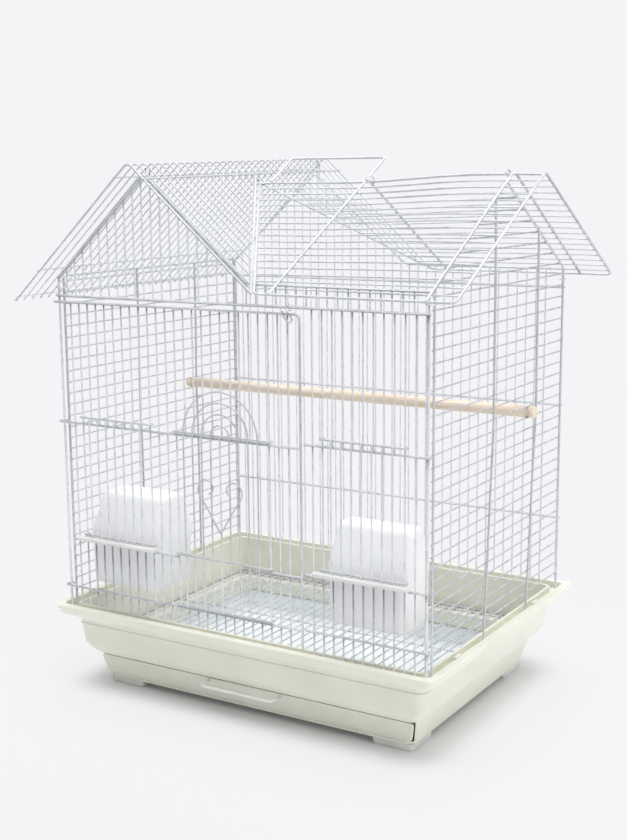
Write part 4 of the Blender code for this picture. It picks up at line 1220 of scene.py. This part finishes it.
@dataclass
class Perch:
    """Beech dowel with a turned groove near each end for the side panels' wires."""

    radius: float = 0.0060

    def build(self) -> None:
        """Turns the profile about X: each circle is (x, r cos a, r sin a) round the dowel's axis."""
        middle, half = box_of("perch")
        end, groove, r = middle[0] + half[0], HALF_WIDTH, self.radius
        profile = np.array([
            (groove - 0.0016, r), (groove - 0.0013, r - 0.0016), (groove + 0.0013, r - 0.0016),
            (groove + 0.0016, r), (end - 0.0009, r), (end - 0.0001, r - 0.0009), (end, r - 0.0030),
        ])
        shaft = column(np.linspace(0, 0.19, 12), r)
        x, radii = np.concatenate([profile[::-1] * [-1, 1], shaft, profile]).T[..., None]
        angle = np.arange(28) * (2 * math.pi / 28)
        rings = column(x, middle[1] + radii * np.cos(angle), middle[2] + radii * np.sin(angle))
        item = skin(rings).piece("dowel", BEECH.material)
        seat(item, "cage", "beech", "perch")


@dataclass
class Studio:
    """Pale floor and backdrop, soft light and the camera."""

    paper: str = "#DADADC"
    backdrop: str = "#F4F4F6"
    surroundings: str = "#F3F4F6"
    place: Point = (0.7360, -1.2043, 0.5456)
    target: Point = (-0.0060, 0.0041, 0.2858)
    roll: float = -0.49
    lens: float = 57.06
    heading: float = 31.55

    def floor(self) -> None:
        """One sheet of paper that lies flat and curves up behind: a profile carried along X."""
        flat, curve, top = 2.2, 1.2, 4.5
        angle = np.linspace(0.1, math.pi / 2, 14)
        along = np.concatenate([np.linspace(-3.0, flat, 6), flat + curve * np.sin(angle), [flat + curve]])
        rise = np.concatenate([np.zeros(6), curve - curve * np.cos(angle), [top]])
        x, y = np.linspace(-6, 6, 9), along[:, None]
        turn = math.radians(self.heading)
        cos, sin = math.cos(turn), math.sin(turn)
        points = column(x * cos - y * sin, x * sin + y * cos, rise[:, None])
        index = np.arange(points.size // 3).reshape(points.shape[:2])
        quads = np.stack([index[:-1, :-1], index[:-1, 1:], index[1:, 1:], index[1:, :-1]], -1).reshape(-1, 4)
        Surface().add(points, quads).piece("paper", self.paper_material())

    def paper_material(self) -> Material:
        """Paper that reflects matt light near the cage and looks like the even backdrop further off.

        The share of backdrop grows with the distance from the cage's footprint, steeply at first.
        """
        material = bpy.data.materials.new("studio_paper")
        tree = empty_tree(material)
        glow = node(tree, "Emission", {"Color": linear(self.backdrop), "Strength": 1.0})
        path = node(tree, "LightPath")
        place = node(tree, "TexCoord")
        size = node(tree, "VectorMath", None, {0: place.outputs["Object"]}, operation="ABSOLUTE")
        past = node(tree, "VectorMath", {1: (0.19, 0.13, 9.0)}, {0: size.outputs[0]}, operation="SUBTRACT")
        beyond = node(tree, "VectorMath", {1: (0.0, 0.0, 0.0)}, {0: past.outputs[0]}, operation="MAXIMUM")
        far = node(tree, "VectorMath", None, {0: beyond.outputs[0]}, operation="LENGTH")
        near, wide = (
            node(tree, "MapRange", {"From Min": start, "From Max": stop, "To Min": least, "To Max": most},
                 {"Value": far.outputs["Value"]}, interpolation_type=kind)
            for start, stop, least, most, kind in (
                (0.01, 0.055, 0.04, 0.82, "SMOOTHSTEP"), (0.0, 0.40, 0.0, 0.18, "SMOOTHERSTEP"),
            )
        )
        share = node(tree, "Math", None, {0: near.outputs[0], 1: wide.outputs[0]}, operation="ADD")
        rays = {0: path.outputs["Is Camera Ray"], 1: path.outputs["Is Transmission Ray"]}
        looks = node(tree, "Math", None, rays, operation="MAXIMUM")
        seen = node(tree, "Math", None, {0: looks.outputs[0], 1: share.outputs[0]}, operation="MULTIPLY")
        tone = node(tree, "Mix", {6: linear(self.backdrop), 7: linear(self.paper)}, {0: looks.outputs[0]},
                    data_type="RGBA")
        matt = node(tree, "BsdfDiffuse", None, {"Color": tone.outputs[2]})
        mix = node(tree, "MixShader", None, {0: seen.outputs[0], 1: matt.outputs[0], 2: glow.outputs[0]})
        node(tree, "OutputMaterial", None, {"Surface": mix.outputs[0]})
        return material

    def world(self) -> None:
        """Even pale surroundings."""
        world = bpy.data.worlds.new("surroundings")
        bpy.context.scene.world = world
        tree = empty_tree(world)
        glow = node(tree, "Background", {"Color": linear(self.surroundings), "Strength": 0.36})
        node(tree, "OutputWorld", None, {"Surface": glow.outputs[0]})

    def lamp(self, name: str, place: Point, size: float, power: float) -> None:
        """Soft square lamp that faces the cage's middle."""
        data = bpy.data.lights.new(name, "AREA")
        data.energy, data.size = power, size
        lamp = linked(name, data)
        lamp.location = place
        lamp.rotation_euler = (Vector((0, 0, 0.25)) - Vector(place)).to_track_quat("-Z", "Y").to_euler()

    def camera(self) -> None:
        """Camera at the photograph's viewing angle, turned a little about its own axis."""
        data = bpy.data.cameras.new("camera")
        data.sensor_fit, data.sensor_height, data.sensor_width = "VERTICAL", 36.0, 36.0
        data.lens, data.clip_end = self.lens, 30.0
        camera = linked("camera", data)
        view = (Vector(self.target) - Vector(self.place)).to_track_quat("-Z", "Y").to_matrix()
        turn = Matrix.Rotation(math.radians(self.roll), 3, "Z")
        camera.location = self.place
        camera.rotation_euler = (view @ turn).to_euler()
        bpy.context.scene.camera = camera

    def build(self) -> None:
        """Sets the stage."""
        bpy.context.scene.view_settings.view_transform = "Standard"
        self.floor()
        self.world()
        self.lamp("overhead", (0.0, 0.1, 2.1), 3.0, 82.0)
        self.lamp("right", (2.3, -0.5, 1.2), 2.0, 16.0)
        self.camera()


def corners(box: tuple[Vector, Vector]) -> list[list[float]]:
    """Lowest and highest corner as plain numbers."""
    return [[float(value) for value in corner] for corner in box]


def main() -> None:
    """Builds every sub-assembly round the frame."""
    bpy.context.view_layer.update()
    # The photograph shows the left feeder a little wider and deeper than the right one
    left = Feeder("left_feeder", "front_door", DOOR_WIRES[FEEDER_WIRES], DOOR, FEEDER_RAIL, cup_half=0.0430,
                  cup_depth=0.0640, hood_low=0.0438, deepen=1.26)
    right = Feeder("right_feeder", "cage", RIGHT_WIRES[FEEDER_WIRES], FIXED, FEEDER_RAIL_RIGHT)
    parts = (Studio(), Base(), Drawer(), Grille(), FrontPanel(), FrontDoor(), SmallDoors(), BackPanel(),
             SidePanel(Hand.LEFT), SidePanel(Hand.RIGHT), TallRoof(), LowRoof(), Clips(), left, right,
             Perch())
    for part in parts:
        part.build()


if __name__ == "__main__":
    main()
